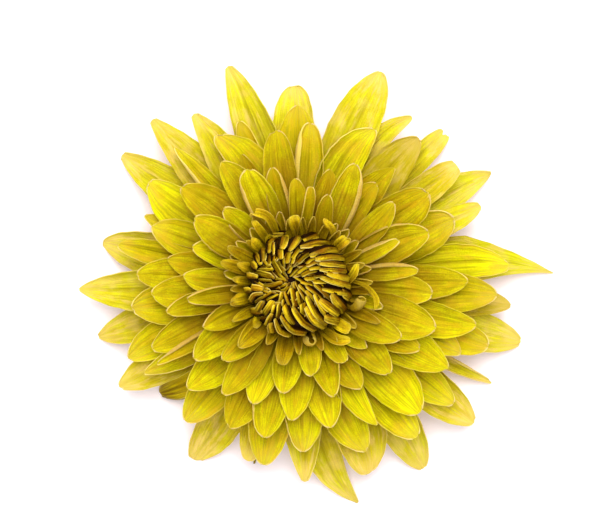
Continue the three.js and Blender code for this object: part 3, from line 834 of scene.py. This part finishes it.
FOURTH_FLORETS = [
    ray(6.6, 23.6, 3.9, 7.6, 3, lean=0.3, left=140, cup=30, tone=-0.6),
    ray(21.8, 27.5, 7.5, 6.8, left=60),
    ray(40.3, 24.5, 5.5, 7.6, -10, right=40, tone=-0.6),
    ray(52, 25, 6, 6.8, tone=-1),
    ray(64.4, 26, 6.3, 7.6, -10, right=135, cup=20),
    ray(74, 23.3, 5, 6.8, tone=-1.1),
    ray(102.4, 23.3, 4.5, 6.8, -2, right=100, cup=35, tone=-0.8),
    ray(114, 24.5, 7, 7.6, -3, "round", left=115, cup=16),
    ray(134, 20.7, 5, 6.8, -6, left=80),
    ray(147.1, 23.9, 6.5, 7.6, -3),
    ray(160.3, 21.8, 6.5, 6.8, -2, tone=0.7),
    ray(176, 22.3, 5.5, 7.6),
    ray(192, 26.1, 4.5, 6.8, cup=60, tone=-0.5),
    ray(215.5, 24.8, 6.5, 6.8),
    ray(235.9, 25.8, 6.5, 7.6, tone=-0.5),
    ray(249.2, 24.8, 6.5, 6.8, 2, tone=1),
    ray(262, 21.3, 6, 7.6),
    ray(287.8, 22.9, 6, 7.6, keel=22, cup=24),
    ray(301.5, 23.7, 6.5, 6.8, 2),
    ray(316.3, 24.9, 6.5, 7.6),
    ray(332, 26.9, 6, 6.8, right=0, left=0),
    ray(342.3, 28.1, 8.5, 7.6),
    ray(356.2, 26.3, 6.2, 6.8, 0, "round"),
]
FIFTH_FLORETS = [
    ray(12.5, 14.5, 2, 9.4, cup=70, tone=-1.2),
    ray(23.6, 21.4, 3.2, 9.4, -3, left=140, cup=30),
    ray(36, 14.5, 2.2, 8.6, cup=70, tone=-1.2),
    ray(47, 14.5, 2.4, 9.4, cup=70, tone=-1.2),
    ray(57, 14, 2.2, 8.6, cup=70, tone=-1.2),
    ray(71, 18.4, 3.3, 9.4, -18, "round", cup=55, tone=-1.2),
    ray(82.4, 19.1, 2, 9.4, 5, "square", cup=60),
    ray(91.5, 20.6, 3.8, 8.6, 0, "round", cup=24, tone=-0.9),
    ray(104, 14.5, 2.2, 9.4, cup=70, tone=-1.2),
    ray(115, 14, 2.4, 8.6, cup=70, tone=-1.2),
    ray(130, 14.2, 2.4, 9.4, cup=70, tone=-1),
    ray(145, 14.5, 2.4, 8.6, cup=70, tone=-1),
    ray(157, 14.2, 2.4, 8.6, cup=70, tone=-1),
    ray(171, 14.5, 2.4, 8.6, cup=70, tone=-1),
    ray(187.5, 21.6, 3.3, 9.4, cup=75, tone=-0.9),
    ray(204.4, 20.1, 5, 8.6),
    ray(225.3, 20.6, 5, 9.4),
    ray(278.5, 17.9, 4.6, 9.4, 0, "round"),
    ray(300.6, 17.5, 4, 9.4, 0, "square"),
    ray(317, 18.2, 4.4, 8.6),
    ray(332.5, 22.5, 6, 9.4, tone=-0.7),
    ray(20.2, 18.5, 1.7, 8.6, cup=60, right=60),
    ray(345, 17, 3, 8.6, cup=60),
]
# The florets of each whorl, their usual tone, and the width of their root ends as a share of their widths.
# The darker usual tones of the fourth and fifth whorls are painted shade, for the deeper shadow they lie in.
WHORLS = {
    "third": (THIRD_FLORETS, 0.0, 0.2),
    "fourth": (FOURTH_FLORETS, -0.1, 0.35),
    "fifth": (FIFTH_FLORETS, -0.35, 0.5),
}
OVAL_SHARE = 0.3  # of the florets with soft tips, those that end in an oval one instead
for whorl, (florets, tone, claw) in WHORLS.items():
    root_level = min(floret["level"] for floret in florets)
    for number, floret in enumerate(florets, 1):
        if floret["tip"] == "soft" and rng.uniform() < OVAL_SHARE:
            floret["tip"] = "oval"
        traits = {"lean": rng.uniform(-0.25, 0.25), "tone": tone + rng.uniform(-0.4, 0.4), "claw": claw}
        name, node = f"{whorl}_ray_{number:02d}", f"{whorl}_whorl"
        lay_floret(plain_blank, name, floret, middle_faces, node, traits, root_level)

# ---------------------------------------------------------------- inner florets
# Short young florets grow from the top of the receptacle and stand round the button. Most are channelled and
# hook back at the tip like a finger, and some are curled or rolled into quills.
INNER_COLOURS = ("eacc0a", "aa8806", "785e00", "b8820c", "5a3a04", "e0c440", "ecd05c")
INNER_BACKS = ("c4a41c", "94760c", "6e5604", "a07010", "503804", "dcc058", "e4c868")
INNER_SKIN = {**PETAL, "vein_scale": 3.1, "rim_width": 0.18, "relief": 1.0}
INNER_RIM = {**PETAL, "vein_scale": 4.2, "rim_width": 0.18}
inner_faces = [
    blade_material("inner_face", INNER_COLOURS, (0.6, 0.5, 0.2, 0.5, 0.3, 0.5), **INNER_SKIN),
    blade_material("inner_back", INNER_BACKS, (0.6, 0.4, 0.1, 0.5, 0.4, 0.4), **INNER_SKIN),
    blade_material("inner_edge", INNER_COLOURS, (0.3, 0.3, 0, 0.7, 0.2, 0.35), **INNER_RIM),
]
PATH_POINTS = 80


def path_line(points):
    """A smooth line through a few points, followed at an even pace from 0 to 1."""
    given = np.array(points, float)
    padded = np.vstack([2 * given[0] - given[1], given, 2 * given[-1] - given[-2]])
    t = np.linspace(0, len(given) - 1, PATH_POINTS)
    i = np.minimum(t.astype(int), len(given) - 2)
    u = (t - i)[:, None]
    p0, p1, p2, p3 = (padded[i + k] for k in range(4))
    curve = 0.5 * (
        2 * p1
        + (p2 - p0) * u
        + (2 * p0 - 5 * p1 + 4 * p2 - p3) * u**2
        + (3 * p1 - p0 - 3 * p2 + p3) * u**3
    )
    pace = np.concatenate([[0], np.cumsum(np.linalg.norm(np.diff(curve, axis=0), axis=1))])
    pace /= pace[-1]

    def line(s):
        return np.stack([np.interp(s, pace, curve[:, axis]) for axis in range(3)], axis=-1)

    return line


# The florets that stand open.
OPEN_FLORETS = [
    ray(2, 14.5, 1.6, 10.4, cup=70),
    ray(17, 13.5, 1.8, 11.2, cup=65),
    ray(28, 14, 1.8, 10.4, cup=70),
    ray(41, 13.5, 1.8, 11.2, cup=70),
    ray(52, 13.2, 1.8, 11.2, cup=70),
    ray(64, 13.5, 1.8, 10.4, cup=70),
    ray(77, 13.5, 1.8, 10.4, cup=70),
    ray(86, 13, 1.8, 11.2, cup=75),
    ray(98, 12.8, 1.8, 11.2, cup=70),
    ray(110, 13.5, 2, 10.4, cup=60),
    ray(122.6, 15.8, 2.3, 10.4, tip="round", cup=50),
    ray(139, 13, 1.8, 10.4, tip="round", cup=-25),
    ray(151.8, 15.3, 2.5, 10.4, tip="round", cup=-30),
    ray(163.6, 15.5, 2.6, 11.2, tip="round", cup=-35),
    ray(175, 12.6, 1.8, 10.4, tip="round", cup=-30),
    ray(184, 13, 1.8, 10.4, cup=65),
    ray(196, 13.5, 2, 10.4, cup=65),
    ray(209, 14.4, 2.2, 10.4, cup=-30),
    ray(226.5, 16.5, 4.3, 11.2, cup=24),
    ray(243, 13, 2.4, 10.4, cup=45),
    ray(258.5, 15.7, 3.6, 10.4, tip="square", cup=30),
    ray(271, 13.5, 1.8, 11.2, cup=65),
    ray(291, 13.5, 2, 10.4, cup=60),
    ray(304, 13.5, 2.2, 11.2, cup=50),
    ray(324, 14, 2.2, 10.4, cup=50),
    ray(335, 17.5, 2, 9.6, cup=70),
    ray(354, 14.5, 1.6, 9.6, cup=70),
]
SHARED_LEVEL = 9.6


def finish_inner(name, line, side, shape):
    """Lays, finishes and places one floret of the inner ring."""
    piece = lay_blade(small_blank, name, line, side, {"thick": 0.26, "ridge": 0.03, **shape})
    thicken(piece, inner_faces)
    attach(piece, "root")
    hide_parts("inner_whorl")


for number, floret in enumerate(OPEN_FLORETS, 1):
    azimuth = floret["azimuth"]
    line = floret_line(azimuth, floret["reach"], floret["level"], 0, SHARED_LEVEL, rng.uniform(0.8, 2))
    shape = {
        "tip": TIPS[floret["tip"]],
        "claw": 0.5,
        "left": rng.uniform(0, 30),
        "right": rng.uniform(0, 30),
        "roll": rng.uniform(-18, 18),
        # Channelled florets, with steep sides, get darker tones: painted shade, for the shadow inside and
        # between them.
        "tone": rng.uniform(-0.5, 0.3) if floret["traits"]["cup"] < 50 else rng.uniform(-1.2, -0.3),
        **floret["traits"],
    }
    finish_inner(f"inner_ray_{number:02d}", line, right_of(azimuth), shape)

# The florets that curl. Each follows points, given by x and y from the axis and height over SHARED_LEVEL.
# Then come its width, its root's share of that, the slope of its sides, where it starts to close, how blunt
# it ends and its tone. Steep sides roll it into a quill, and sides that fall away make a knob.
CURLED_FLORETS = [
    ([(0.5, 6.5, 0), (0.3, 9.2, 1.2), (-0.4, 11.8, 3), (-0.9, 13.4, 3)], 2.4, 0.6, 24, 0.88, 0.7, 0.2),
    ([(7.4, 7.4, 0), (7.2, 9.2, 2.4), (6.4, 11, 3.8), (5, 12.8, 3)], 1.5, 0.5, -45, 0.7, 0.4, -0.6),
    ([(5.4, 5, 3), (7.4, 7.2, 3.6), (8.6, 8.3, 3.6), (9.6, 9, 2.4)], 2.1, 0.3, 24, 0.86, 0.7, -0.5),
    ([(8, -0.4, 3), (9.6, 0.6, 3.8), (10.8, 2.2, 4.2), (11.6, 4.1, 3.4)], 1.7, 0.6, -25, 0.6, 0.3, 0.5),
    (
        [(6, -1, 0), (9, -2.6, 0.4), (11.4, -4.3, 1), (12.5, -4.2, 2.1), (13.1, -3, 2.9)],
        1.7, 0.8, 152, 0.96, 0.7, -0.8,
    ),
    (
        [(9, 1, 1.5), (12.6, 0.1, 2.6), (14.9, -2.2, 3.2), (15.3, -4.2, 3), (14.9, -4.9, 1.8)],
        1.1, 0.6, -30, 0.9, 0.6, 0.6,
    ),
    ([(5, -5.6, 2.2), (7, -7, 3.4), (8.6, -8, 3.6), (10.2, -8.7, 2)], 2.3, 0.5, 18, 0.8, 0.6, 0.3),
    (
        [(1, -6, 0), (1.6, -8.6, 0.8), (2.3, -10.8, 2), (2.6, -11.7, 3), (2.9, -11.4, 4.2)],
        2.2, 0.8, 140, 0.9, 0.5, -0.7,
    ),
    ([(-5, -4, 2), (-7, -5.8, 3), (-7.8, -7, 3.2), (-8.4, -8.4, 2)], 1.9, 0.7, -20, 0.8, 0.5, 0.3),
    ([(-5.4, 5.2, 1), (-7.2, 7, 3.2), (-8.4, 8.3, 3.6), (-9, 9, 2)], 2, 0.6, -45, 0.6, 0.3, 0.3),
    ([(-5.6, 2, 1), (-8.6, 2.9, 3), (-10.3, 3.5, 3.4), (-11.8, 4, 1.8)], 2.2, 0.6, -45, 0.6, 0.3, 0.2),
    ([(-6, 0.4, 1), (-9.6, 0.6, 2.6), (-11.5, 0.8, 3), (-12.5, 0.9, 1.6)], 1.8, 0.6, -45, 0.6, 0.3, -0.1),
    ([(-6, -1.6, 1), (-9.6, -2.4, 2.8), (-11.6, -2.9, 3.2), (-13, -3.3, 1.8)], 2.5, 0.6, -45, 0.6, 0.3, 0.2),
    ([(-3, 5.4, 2), (-5.4, 7.6, 3.6), (-5.2, 9.4, 4.4), (-2.2, 10, 4)], 1.3, 0.7, -20, 0.6, 0.1, 0.4),
    ([(-4.6, 6.6, 0), (-6.6, 9.6, 2), (-8, 11.6, 3), (-8.6, 12.4, 2.2)], 1.5, 0.6, 55, 0.6, 0.2, 0.2),
    (
        [(-3, 7.4, 0), (-4.4, 10.6, 2), (-5.8, 13.2, 3.2), (-8, 13.9, 3), (-8.9, 13.2, 2)],
        1.6, 0.6, 45, 0.8, 0.4, 0.4,
    ),
    ([(2.2, -6.4, 1), (5.4, -9.2, 2), (7.6, -10.6, 2.8), (10.2, -10.6, 2)], 2.1, 0.6, 30, 0.7, 0.3, 0.3),
]
for number, (points, width, claw, cup, start, end, tone) in enumerate(CURLED_FLORETS, 1):
    path = []
    for x, y, above in points:
        path.append(AXIS + (x, y, level_z(SHARED_LEVEL, np.hypot(x, y)) + above))
    way = path[-2] - path[0]
    side = unit(np.array([way[1], -way[0], 0]))
    shape = {
        "width": width,
        "claw": claw,
        "widest": 0.75,
        "tip": (start, 2.2, 1.8, end, 0.4, 0),
        "cup": cup,
        "claw_cup": max(cup, 40),
        "keel": 4 if cup > 0 else -4,
        "rim": 22 if 0 < cup < 100 else -20,
        "tone": tone,
    }
    finish_inner(f"curled_ray_{number:02d}", path_line(path), side, shape)

# ---------------------------------------------------------------- button
# The young florets in the middle are narrow, keeled and curved inward. They are combed over one another to an
# eye left of the centre, where the youngest stand lowest, with dark gaps between them down to a packed heart.
BUTTON_R = 10
EYE = np.array([-1.46, 1.0])
EYE_Z = 26.6
CREST_Z = 29.9
CREST_SHARE = 0.66  # of the way from the eye to the rim
FALL_START, FALL_WIDTH, RIM_DROP = 0.7, 0.3, 4.6  # past the crest, down to the rim
BUTTON_TUCK = 0.7  # width of each floret that lies hidden under its right neighbour
BUTTON_COLOURS = ("f0cc1a", "8c6400", "341e00", "a85c04", "1c0700", "e8cc50", "fae484")
# The backs of the young florets are near black: painted shade, for undersides that face the shadowed gaps.
BUTTON_SHADED_BACKS = ("5a3802", "3c2002", "2e1602", "402002", "1a0700", "8a6c10", "a8842c")
EYE_COLOURS = ("b48424", "6e480c", "4a3008", "5a380a", "241402", "c0903c", "c0963c")
YOUNG = {**PETAL, "Subsurface_Weight": 0.04, "Specular_IOR_Level": 0.06}
BUTTON_SKIN = {**YOUNG, "vein_scale": 2.8, "rim_width": 0.2, "relief": 1.0}
BUTTON_LINING = {**YOUNG, "roughness": 0.6, "vein_scale": 5.5, "rim_width": 0.16}
EYE_SKIN = {**YOUNG, "vein_scale": 5.5, "rim_width": 0.14, "relief": 1.0}
EYE_LINING = {**BUTTON_LINING, "rim_width": 0.14}
button_faces = [
    # The button face's pale margin is a painted highlight: the painted side shading fades it on the right, so
    # it shows on the raised left edge, where light would catch.
    blade_material("button_face", BUTTON_COLOURS, (0.8, 0.45, 0, 0.5, 0.3, 0.9), **BUTTON_SKIN),
    blade_material("button_inside", BUTTON_SHADED_BACKS, (0.3, 0.3, 0, 0.8, 0.2, 0.3), **BUTTON_LINING),
    blade_material("button_edge", BUTTON_COLOURS, (0.3, 0.2, 0, 0.6, 0.3, 0.7), **BUTTON_LINING),
]
eye_faces = [
    blade_material("eye_face", EYE_COLOURS, (0.6, 0.4, 0, 0.7, 0.5, 0.8), **EYE_SKIN),
    blade_material("eye_inside", BUTTON_SHADED_BACKS, (0.3, 0.3, 0, 0.8, 0.2, 0.3), **EYE_LINING),
    blade_material("eye_edge", EYE_COLOURS, (0.3, 0.2, 0, 0.6, 0.3, 0.5), **EYE_LINING),
]


def eye_share(x, y):
    """0 at the eye and 1 on the button's rim, in a straight line from the eye."""
    dx, dy = x - EYE[0], y - EYE[1]
    a = np.maximum(dx * dx + dy * dy, 1e-6)
    b = EYE[0] * dx + EYE[1] * dy
    c = EYE @ EYE - BUTTON_R**2
    return a / (-b + np.sqrt(b * b - a * c))


def button_z(x, y):
    """Height of the combed surface over a point, measured from the button's own middle."""
    n = eye_share(x, y)
    fall = RIM_DROP * (np.clip(n - FALL_START, 0, None) / FALL_WIDTH) ** 2
    return EYE_Z + (CREST_Z - EYE_Z) * smooth(n / CREST_SHARE) - fall


# Tip x and y, base x and y, width, and how far the floret bows to its right on the way to the tip.
BUTTON_FLORETS = [
    (0.8, 7.3, 6.2, 8.2, 1.3, 0.4),
    (1.3, 8.6, 3.9, 9.7, 1.3, 0.0),
    (2.6, 5.6, 9.1, 6.7, 1.35, 0.5),
    (3.6, 4.9, 9.1, 5.1, 0.95, 0.3),
    (4.4, 4.0, 9.2, 3.7, 0.95, 0.2),
    (4.4, 2.9, 9.4, 2.6, 1.0, 0.1),
    (5.8, 2.0, 10, 1.2, 1.2, 0.0),
    (4.6, 1.3, 10.2, -0.2, 1.2, 0.0),
    (4.9, -0.9, 9.6, -1.6, 1.0, 0.0),
    (8.7, -1.1, 10.4, -2.3, 1.9, 0.0),
    (6.7, -1.9, 9.4, -5.0, 1.8, 0.0),
    (4.4, -3.0, 8.1, -5.6, 1.7, 0.0),
    (5.3, -6.1, 8.6, -7.0, 1.9, 0.0),
    (1.8, -2.4, 5.6, -7.6, 1.0, -0.5),
    (3.3, -2.1, 6.2, -6.6, 0.8, -0.3),
    (1.6, -4.5, 5.3, -8.2, 1.2, -0.5),
    (1.1, -3.6, 1.2, -6.1, 1.2, 0.0),
    (-0.9, -4.6, 3.4, -8.8, 1.0, -0.5),
    (-3.1, -6.2, 1.6, -9.3, 1.0, -0.9),
    (-4.3, -6.8, -1.2, -9.6, 0.9, -0.9),
    (-5.1, -7.5, -4.7, -9.3, 1.7, 0.0),
    (-5.1, -5.6, -6.1, -8.0, 0.9, 0.0),
    (-7.0, -5.1, -9.2, -5.2, 1.3, 0.0),
    (-6.7, -3.2, -7.8, -5.1, 1.1, 0.0),
    (-4.8, -3.2, -6.4, -5.6, 1.1, 0.0),
    (-6.9, -1.6, -9.2, -3.2, 0.8, -0.5),
    (-9.0, -1.0, -10.2, -1.3, 1.4, 0.0),
    (-6.8, -0.7, -9.0, -0.5, 1.1, 0.0),
    (-7.9, 1.6, -9.8, 1.7, 1.1, 0.0),
    (-5.3, 1.6, -7.9, 2.3, 1.1, 0.0),
    (-4.9, 3.0, -7.3, 2.9, 0.6, 0.0),
    (-7.9, 3.3, -9.0, 4.4, 1.0, 0.0),
    (-7.1, 4.1, -7.8, 5.8, 1.0, 0.0),
    (-5.2, 3.6, -6.6, 3.6, 0.5, 0.0),
    (-5.9, 4.0, -6.9, 5.1, 0.5, 0.0),
    (-6.5, 4.7, -6.7, 7.2, 1.0, 0.0),
    (-5.4, 6.3, -5.2, 8.4, 0.9, 0.0),
    (-4.6, 5.9, -4.7, 8.2, 0.5, 0.0),
    (-5.6, 7.8, -2.0, 9.6, 0.8, 0.9),
    (-3.0, 7.1, -2.5, 9.5, 1.5, 0.0),
    (-1.4, 6.7, 0.2, 9.4, 1.4, 0.0),
    (-3.3, 5.2, -3.4, 7.6, 0.9, 0.0),
    (-3.6, 2.4, -4.9, 4.8, 0.9, 0.0),
    (-2.7, 4.0, -2.9, 5.9, 0.5, 0.0),
    (-2.0, 4.3, -1.4, 6.5, 0.8, 0.0),
    (-1.1, 4.3, -0.5, 6.1, 0.6, 0.0),
    (-0.9, 5.2, 0.4, 7.2, 0.6, 0.0),
    (0.2, 4.4, 2.8, 6.3, 0.8, 0.2),
    (-0.9, 3.7, 0.2, 5.2, 0.5, 0.0),
    (-1.7, 2.4, -0.9, 3.9, 0.5, 0.0),
    (-2.6, 2.8, -3.9, 4.8, 0.5, 0.2),
    (-2.3, 1.7, -3.9, 3.5, 0.5, 0.0),
    (-2.5, 0.9, -4.4, 2.6, 0.6, 0.0),
    (-4.7, 1.4, -5.7, 2.3, 0.5, 0.0),
    (-5.2, 0.8, -7.4, 0.9, 0.5, 0.0),
    (-3.2, 0.4, -6.9, -0.1, 0.8, 0.3),
    (-2.6, 1.0, -4.6, 1.2, 0.4, 0.0),
    (-5.7, -1.5, -7.2, -0.9, 0.5, 0.0),
    (-4.4, -1.5, -6.0, -1.1, 0.4, 0.0),
    (-5.1, -1.3, -7.8, -3.1, 0.6, 0.0),
    (-4.0, -1.9, -6.0, -3.0, 0.5, 0.0),
    (-3.5, -3.8, -3.8, -6.5, 0.7, 0.0),
    (-4.4, -3.9, -5.1, -6.4, 0.6, 0.0),
    (-2.5, -4.0, -0.9, -7.4, 1.1, -0.2),
    (-2.8, -3.0, -2.9, -5.2, 0.4, 0.0),
    (-3.0, -1.5, -3.6, -4.0, 0.6, 0.0),
    (-2.4, -1.6, -1.2, -4.9, 0.6, 0.0),
    (-1.5, -1.0, -2.1, -2.4, 0.4, 0.0),
    (-1.1, -0.8, -0.3, -4.8, 0.8, 0.0),
    (0.4, -0.1, 2.2, -2.1, 0.5, 0.0),
    (1.7, -1.3, 3.5, -3.2, 0.6, 0.0),
    (1.8, -0.3, 5.0, -3.0, 0.7, 0.1),
    (3.4, 0.0, 6.5, -2.8, 0.8, 0.1),
    (0.7, -1.5, 1.7, -3.2, 0.45, 0.0),
    (0.2, -0.6, 1.2, -2.8, 0.4, 0.0),
    (0.0, -1.5, 0.5, -3.8, 0.6, 0.0),
    (1.7, 4.2, 3.7, 5.3, 0.6, 0.2),
    (1.9, 3.7, 4.8, 4.6, 0.6, 0.2),
    (2.4, 3.1, 5.1, 3.4, 0.6, 0.0),
    (0.2, 2.4, 3.0, 4.0, 0.7, 0.2),
    (0.9, 1.9, 3.6, 2.8, 0.7, 0.2),
    (1.5, 1.2, 3.8, 1.3, 0.6, 0.0),
    (3.4, 1.6, 5.6, 1.9, 0.5, 0.0),
    (3.2, 0.6, 5.8, 0.6, 0.6, 0.0),
    (0.8, 0.5, 3.4, -0.3, 0.5, 0.0),
]
# Florets too small or too deep to tell apart fill in below the others, in rings round the eye. Each ring has
# a count, the shares of the way from the eye to the rim where its tips and bases lie, a width and a depth.
# The depth sinks a ring's florets and also darkens them, as painted shade for the gaps they lie in.
FILLER_RINGS = [
    (7, 0.08, 0.26, 0.4, 0.4),
    (17, 0.1, 0.36, 0.55, 0.6),
    (23, 0.3, 0.62, 0.8, 0.9),
    (29, 0.56, 0.88, 0.95, 1.0),
]
COMB = 0.5  # how far round a filler's base is from its tip, in radians
EYE_R = 0.9  # within which the youngest florets have their own finish
# Dark gaps where no small florets fill in, as x and y: first the crooked one beside the eye.
DARK_GAPS = [
    (-1.9, 3.9), (-1.5, 2.6), (-0.3, 1.5), (0.2, 0.7), (0.5, 0.2),
    (-7.6, 3.2), (-9, -1.3), (-9, -4), (-7, -6), (-2.5, -6.5), (0.5, -8.2), (5.9, -7.8), (4.7, -8.6),
    (2.2, 4.9), (5, 6.1), (7.2, 4.4),
]
GAP_R = 0.8
button_florets = [(*floret, 0.0) for floret in BUTTON_FLORETS]
for count, tip_share, base_share, width, depth in FILLER_RINGS:
    for i in range(count):
        turn = 2 * np.pi * (i + rng.uniform(-0.25, 0.25)) / count
        ends = []
        for share, swing in ((tip_share, 0), (base_share, -COMB)):
            way = np.array([np.cos(turn + swing), np.sin(turn + swing)])
            reach = 1 / eye_share(*(EYE + way))
            ends += [*(EYE + way * reach * share * rng.uniform(0.85, 1.15))]
        filler = (*ends, width * rng.uniform(0.85, 1.15), rng.uniform(-0.1, 0.3), depth)
        middle = np.array([ends[0] + ends[2], ends[1] + ends[3]]) / 2
        if min(np.hypot(*(middle - gap)) for gap in DARK_GAPS) > GAP_R:
            button_florets.append(filler)
RIM_SHARE = 0.86  # a floret whose base is past this share of the way from the eye climbs the button's side
SIDE_ROOTS = [(0.96, 3.0), (0.8, 3.5)]  # points down that side: share of the base's radius, and drop
SHOULDER = 0.35  # share of the way to the tip where such a floret lies on the crest
ROOT_BACK, ROOT_DROP = 0.6, 1.6
BASE_SINK, MIDDLE_SINK, TIP_RISE = 1.0, 0.1, 0.2  # from the combed surface
HOOK_REACH, HOOK_DROP = 0.3, 0.9


def young_path(tip, base, way, right, bow, depth):
    """Points over the combed surface that a young floret follows, from its hidden root to its hooked tip."""
    if depth == 0 and eye_share(*base) > RIM_SHARE:
        crest = base * (1 - SHOULDER) + tip * SHOULDER + right * bow * 0.9
        spots = [(base, 0.0), (crest, 0.0)]
        roots = [(base * share, drop) for share, drop in SIDE_ROOTS]
    else:
        spots = [(base, -BASE_SINK)]
        roots = [(base - way * ROOT_BACK, ROOT_DROP)]
    spots += [((base + tip) / 2 + right * bow, -MIDDLE_SINK), (tip, TIP_RISE)]
    path = [(*spot, button_z(*spot) + above - depth) for spot, above in spots]
    for spot, drop in roots:
        path.insert(0, (*spot, path[0][2] - drop))
    path.append((*(tip + way * HOOK_REACH), path[-1][2] - HOOK_DROP))
    return [AXIS + point for point in path]


for number, (tip_x, tip_y, base_x, base_y, width, bow, depth) in enumerate(button_florets, 1):
    tip, base = np.array([tip_x, tip_y]), np.array([base_x, base_y])
    way = unit(tip - base)
    right = np.array([way[1], -way[0]])
    hidden = BUTTON_TUCK * min(1, width)
    tip, base = tip + right * hidden / 2, base + right * hidden / 2
    line = path_line(young_path(tip, base, way, right, bow, depth))
    shape = {
        "width": width + hidden,
        "claw": 0.85,
        "widest": 0.5,
        "tip": (rng.uniform(0.72, 0.82), 2.0, 1.2, rng.uniform(0.15, 0.45), 0.5, 0),
        "cup": -12 + rng.uniform(-8, 8),
        "claw_cup": -14,
        "keel": -22,
        "rim": -6,
        "roll": -26 + rng.uniform(-9, 9),
        "twist": rng.uniform(-10, 6),
        "wave": 0.07,
        "ridge": 0.05,
        "thick": 0.22,
        # Deeper fillers get darker tones: painted shade.
        "tone": rng.uniform(-1.5, -0.3) - 1.5 * min(1, depth),
        # Painted light and shade across each floret: lighter at the raised left edge, darker at the right,
        # under its neighbour.
        "side_tone": 2.7,
    }
    side = np.array([*right, 0])
    piece = lay_blade(small_blank, f"button_ray_{number:02d}", line, side, shape)
    thicken(piece, eye_faces if np.hypot(*(tip - EYE)) < EYE_R else button_faces)
    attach(piece, "root")
    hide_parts("button")

# The heart is a ball with its lower part flat and its upper part under the combed surface.
# Its near-black colour is painted shade, for the deep gaps between the young florets where it shows.
HEART_R = 8.3
HEART_FOOT_Z = 17
HEART_DEPTH = 1.3  # below the combed surface
HEART_SHOULDER = 0.3  # the ball's height, up or down from its middle, between which the two parts join
bpy.ops.object.select_all(action="DESELECT")
bpy.ops.mesh.primitive_uv_sphere_add(segments=48, ring_count=24, radius=1, location=(0, 0, 0))
heart = bpy.context.active_object
heart.name = "packed_heart"
for vertex in heart.data.vertices:
    x, y, up = vertex.co
    spot = np.array([x, y]) * HEART_R
    top = button_z(*spot) - HEART_DEPTH
    climb = smooth((up + HEART_SHOULDER) / (2 * HEART_SHOULDER))
    vertex.co = (AXIS + (*spot, HEART_FOOT_Z + (top - HEART_FOOT_Z) * climb)) * MM
HEART_SHADE_FINISH = {"Base_Color": paint("1e0a00"), "Specular_IOR_Level": 0.1}
heart.data.materials.append(new_material("packed_heart_shade", 0.8, **HEART_SHADE_FINISH)[0])
bpy.ops.object.shade_smooth()
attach(heart, "root")
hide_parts("button")

for blank in (fine_blank, plain_blank, small_blank):
    bpy.data.objects.remove(blank)

# ---------------------------------------------------------------- surface, light and camera
# A plain pale table top carries the head, under soft light from all round and from a large source behind it.
# The camera looks straight down from above.
FLOOR_SIDE = 6.0  # metres, as all lengths of the floor and the lamp are
bpy.ops.object.select_all(action="DESELECT")
bpy.ops.mesh.primitive_plane_add(size=FLOOR_SIDE, location=(0, 0, 0))
floor = bpy.context.active_object
floor.name = "table_top"
FLOOR_FINISH = {
    "Base_Color": (0.95, 0.88, 0.91, 1.0),
    "Emission_Color": (1.0, 0.8, 0.9, 1.0),
    "Emission_Strength": 0.09,  # a weak glow, which keeps the shadow under the head faint
}
floor.data.materials.append(new_material("pale_table", 0.9, **FLOOR_FINISH)[0])

world = bpy.data.worlds.new("soft_room")
bpy.context.scene.world = world
world.use_nodes = True
background = world.node_tree.nodes["Background"]
background.inputs["Color"].default_value = (1.0, 1.0, 1.0, 1.0)
background.inputs["Strength"].default_value = 1.0
bpy.context.scene.view_settings.view_transform = "Standard"

lamp_data = bpy.data.lights.new("window", "AREA")
lamp_data.size = 0.5
lamp_data.energy = 7.5
lamp = bpy.data.objects.new("window", lamp_data)
bpy.context.scene.collection.objects.link(lamp)
lamp.location = (0.02, 0.29, 0.86)
lamp.rotation_euler = lamp.location.to_track_quat("Z", "Y").to_euler()

VIEW_Z = 4  # height of the plane that the view is measured in
VIEW_WIDTH = 122.4  # of that plane, from side to side of the view
CAMERA_HEIGHT = 600  # above that plane
SENSOR = 36
HEAD_IN_VIEW = (-1.6, -4.3)  # the head's axis, from the middle of the view
camera_data = bpy.data.cameras.new("overhead")
camera_data.sensor_width = SENSOR
camera_data.lens = SENSOR * CAMERA_HEIGHT / VIEW_WIDTH
camera = bpy.data.objects.new("overhead", camera_data)
bpy.context.scene.collection.objects.link(camera)
camera.location = (
    (AXIS[0] - HEAD_IN_VIEW[0]) * MM,
    (AXIS[1] - HEAD_IN_VIEW[1]) * MM,
    (CAMERA_HEIGHT + VIEW_Z) * MM,
)
bpy.context.scene.camera = camera
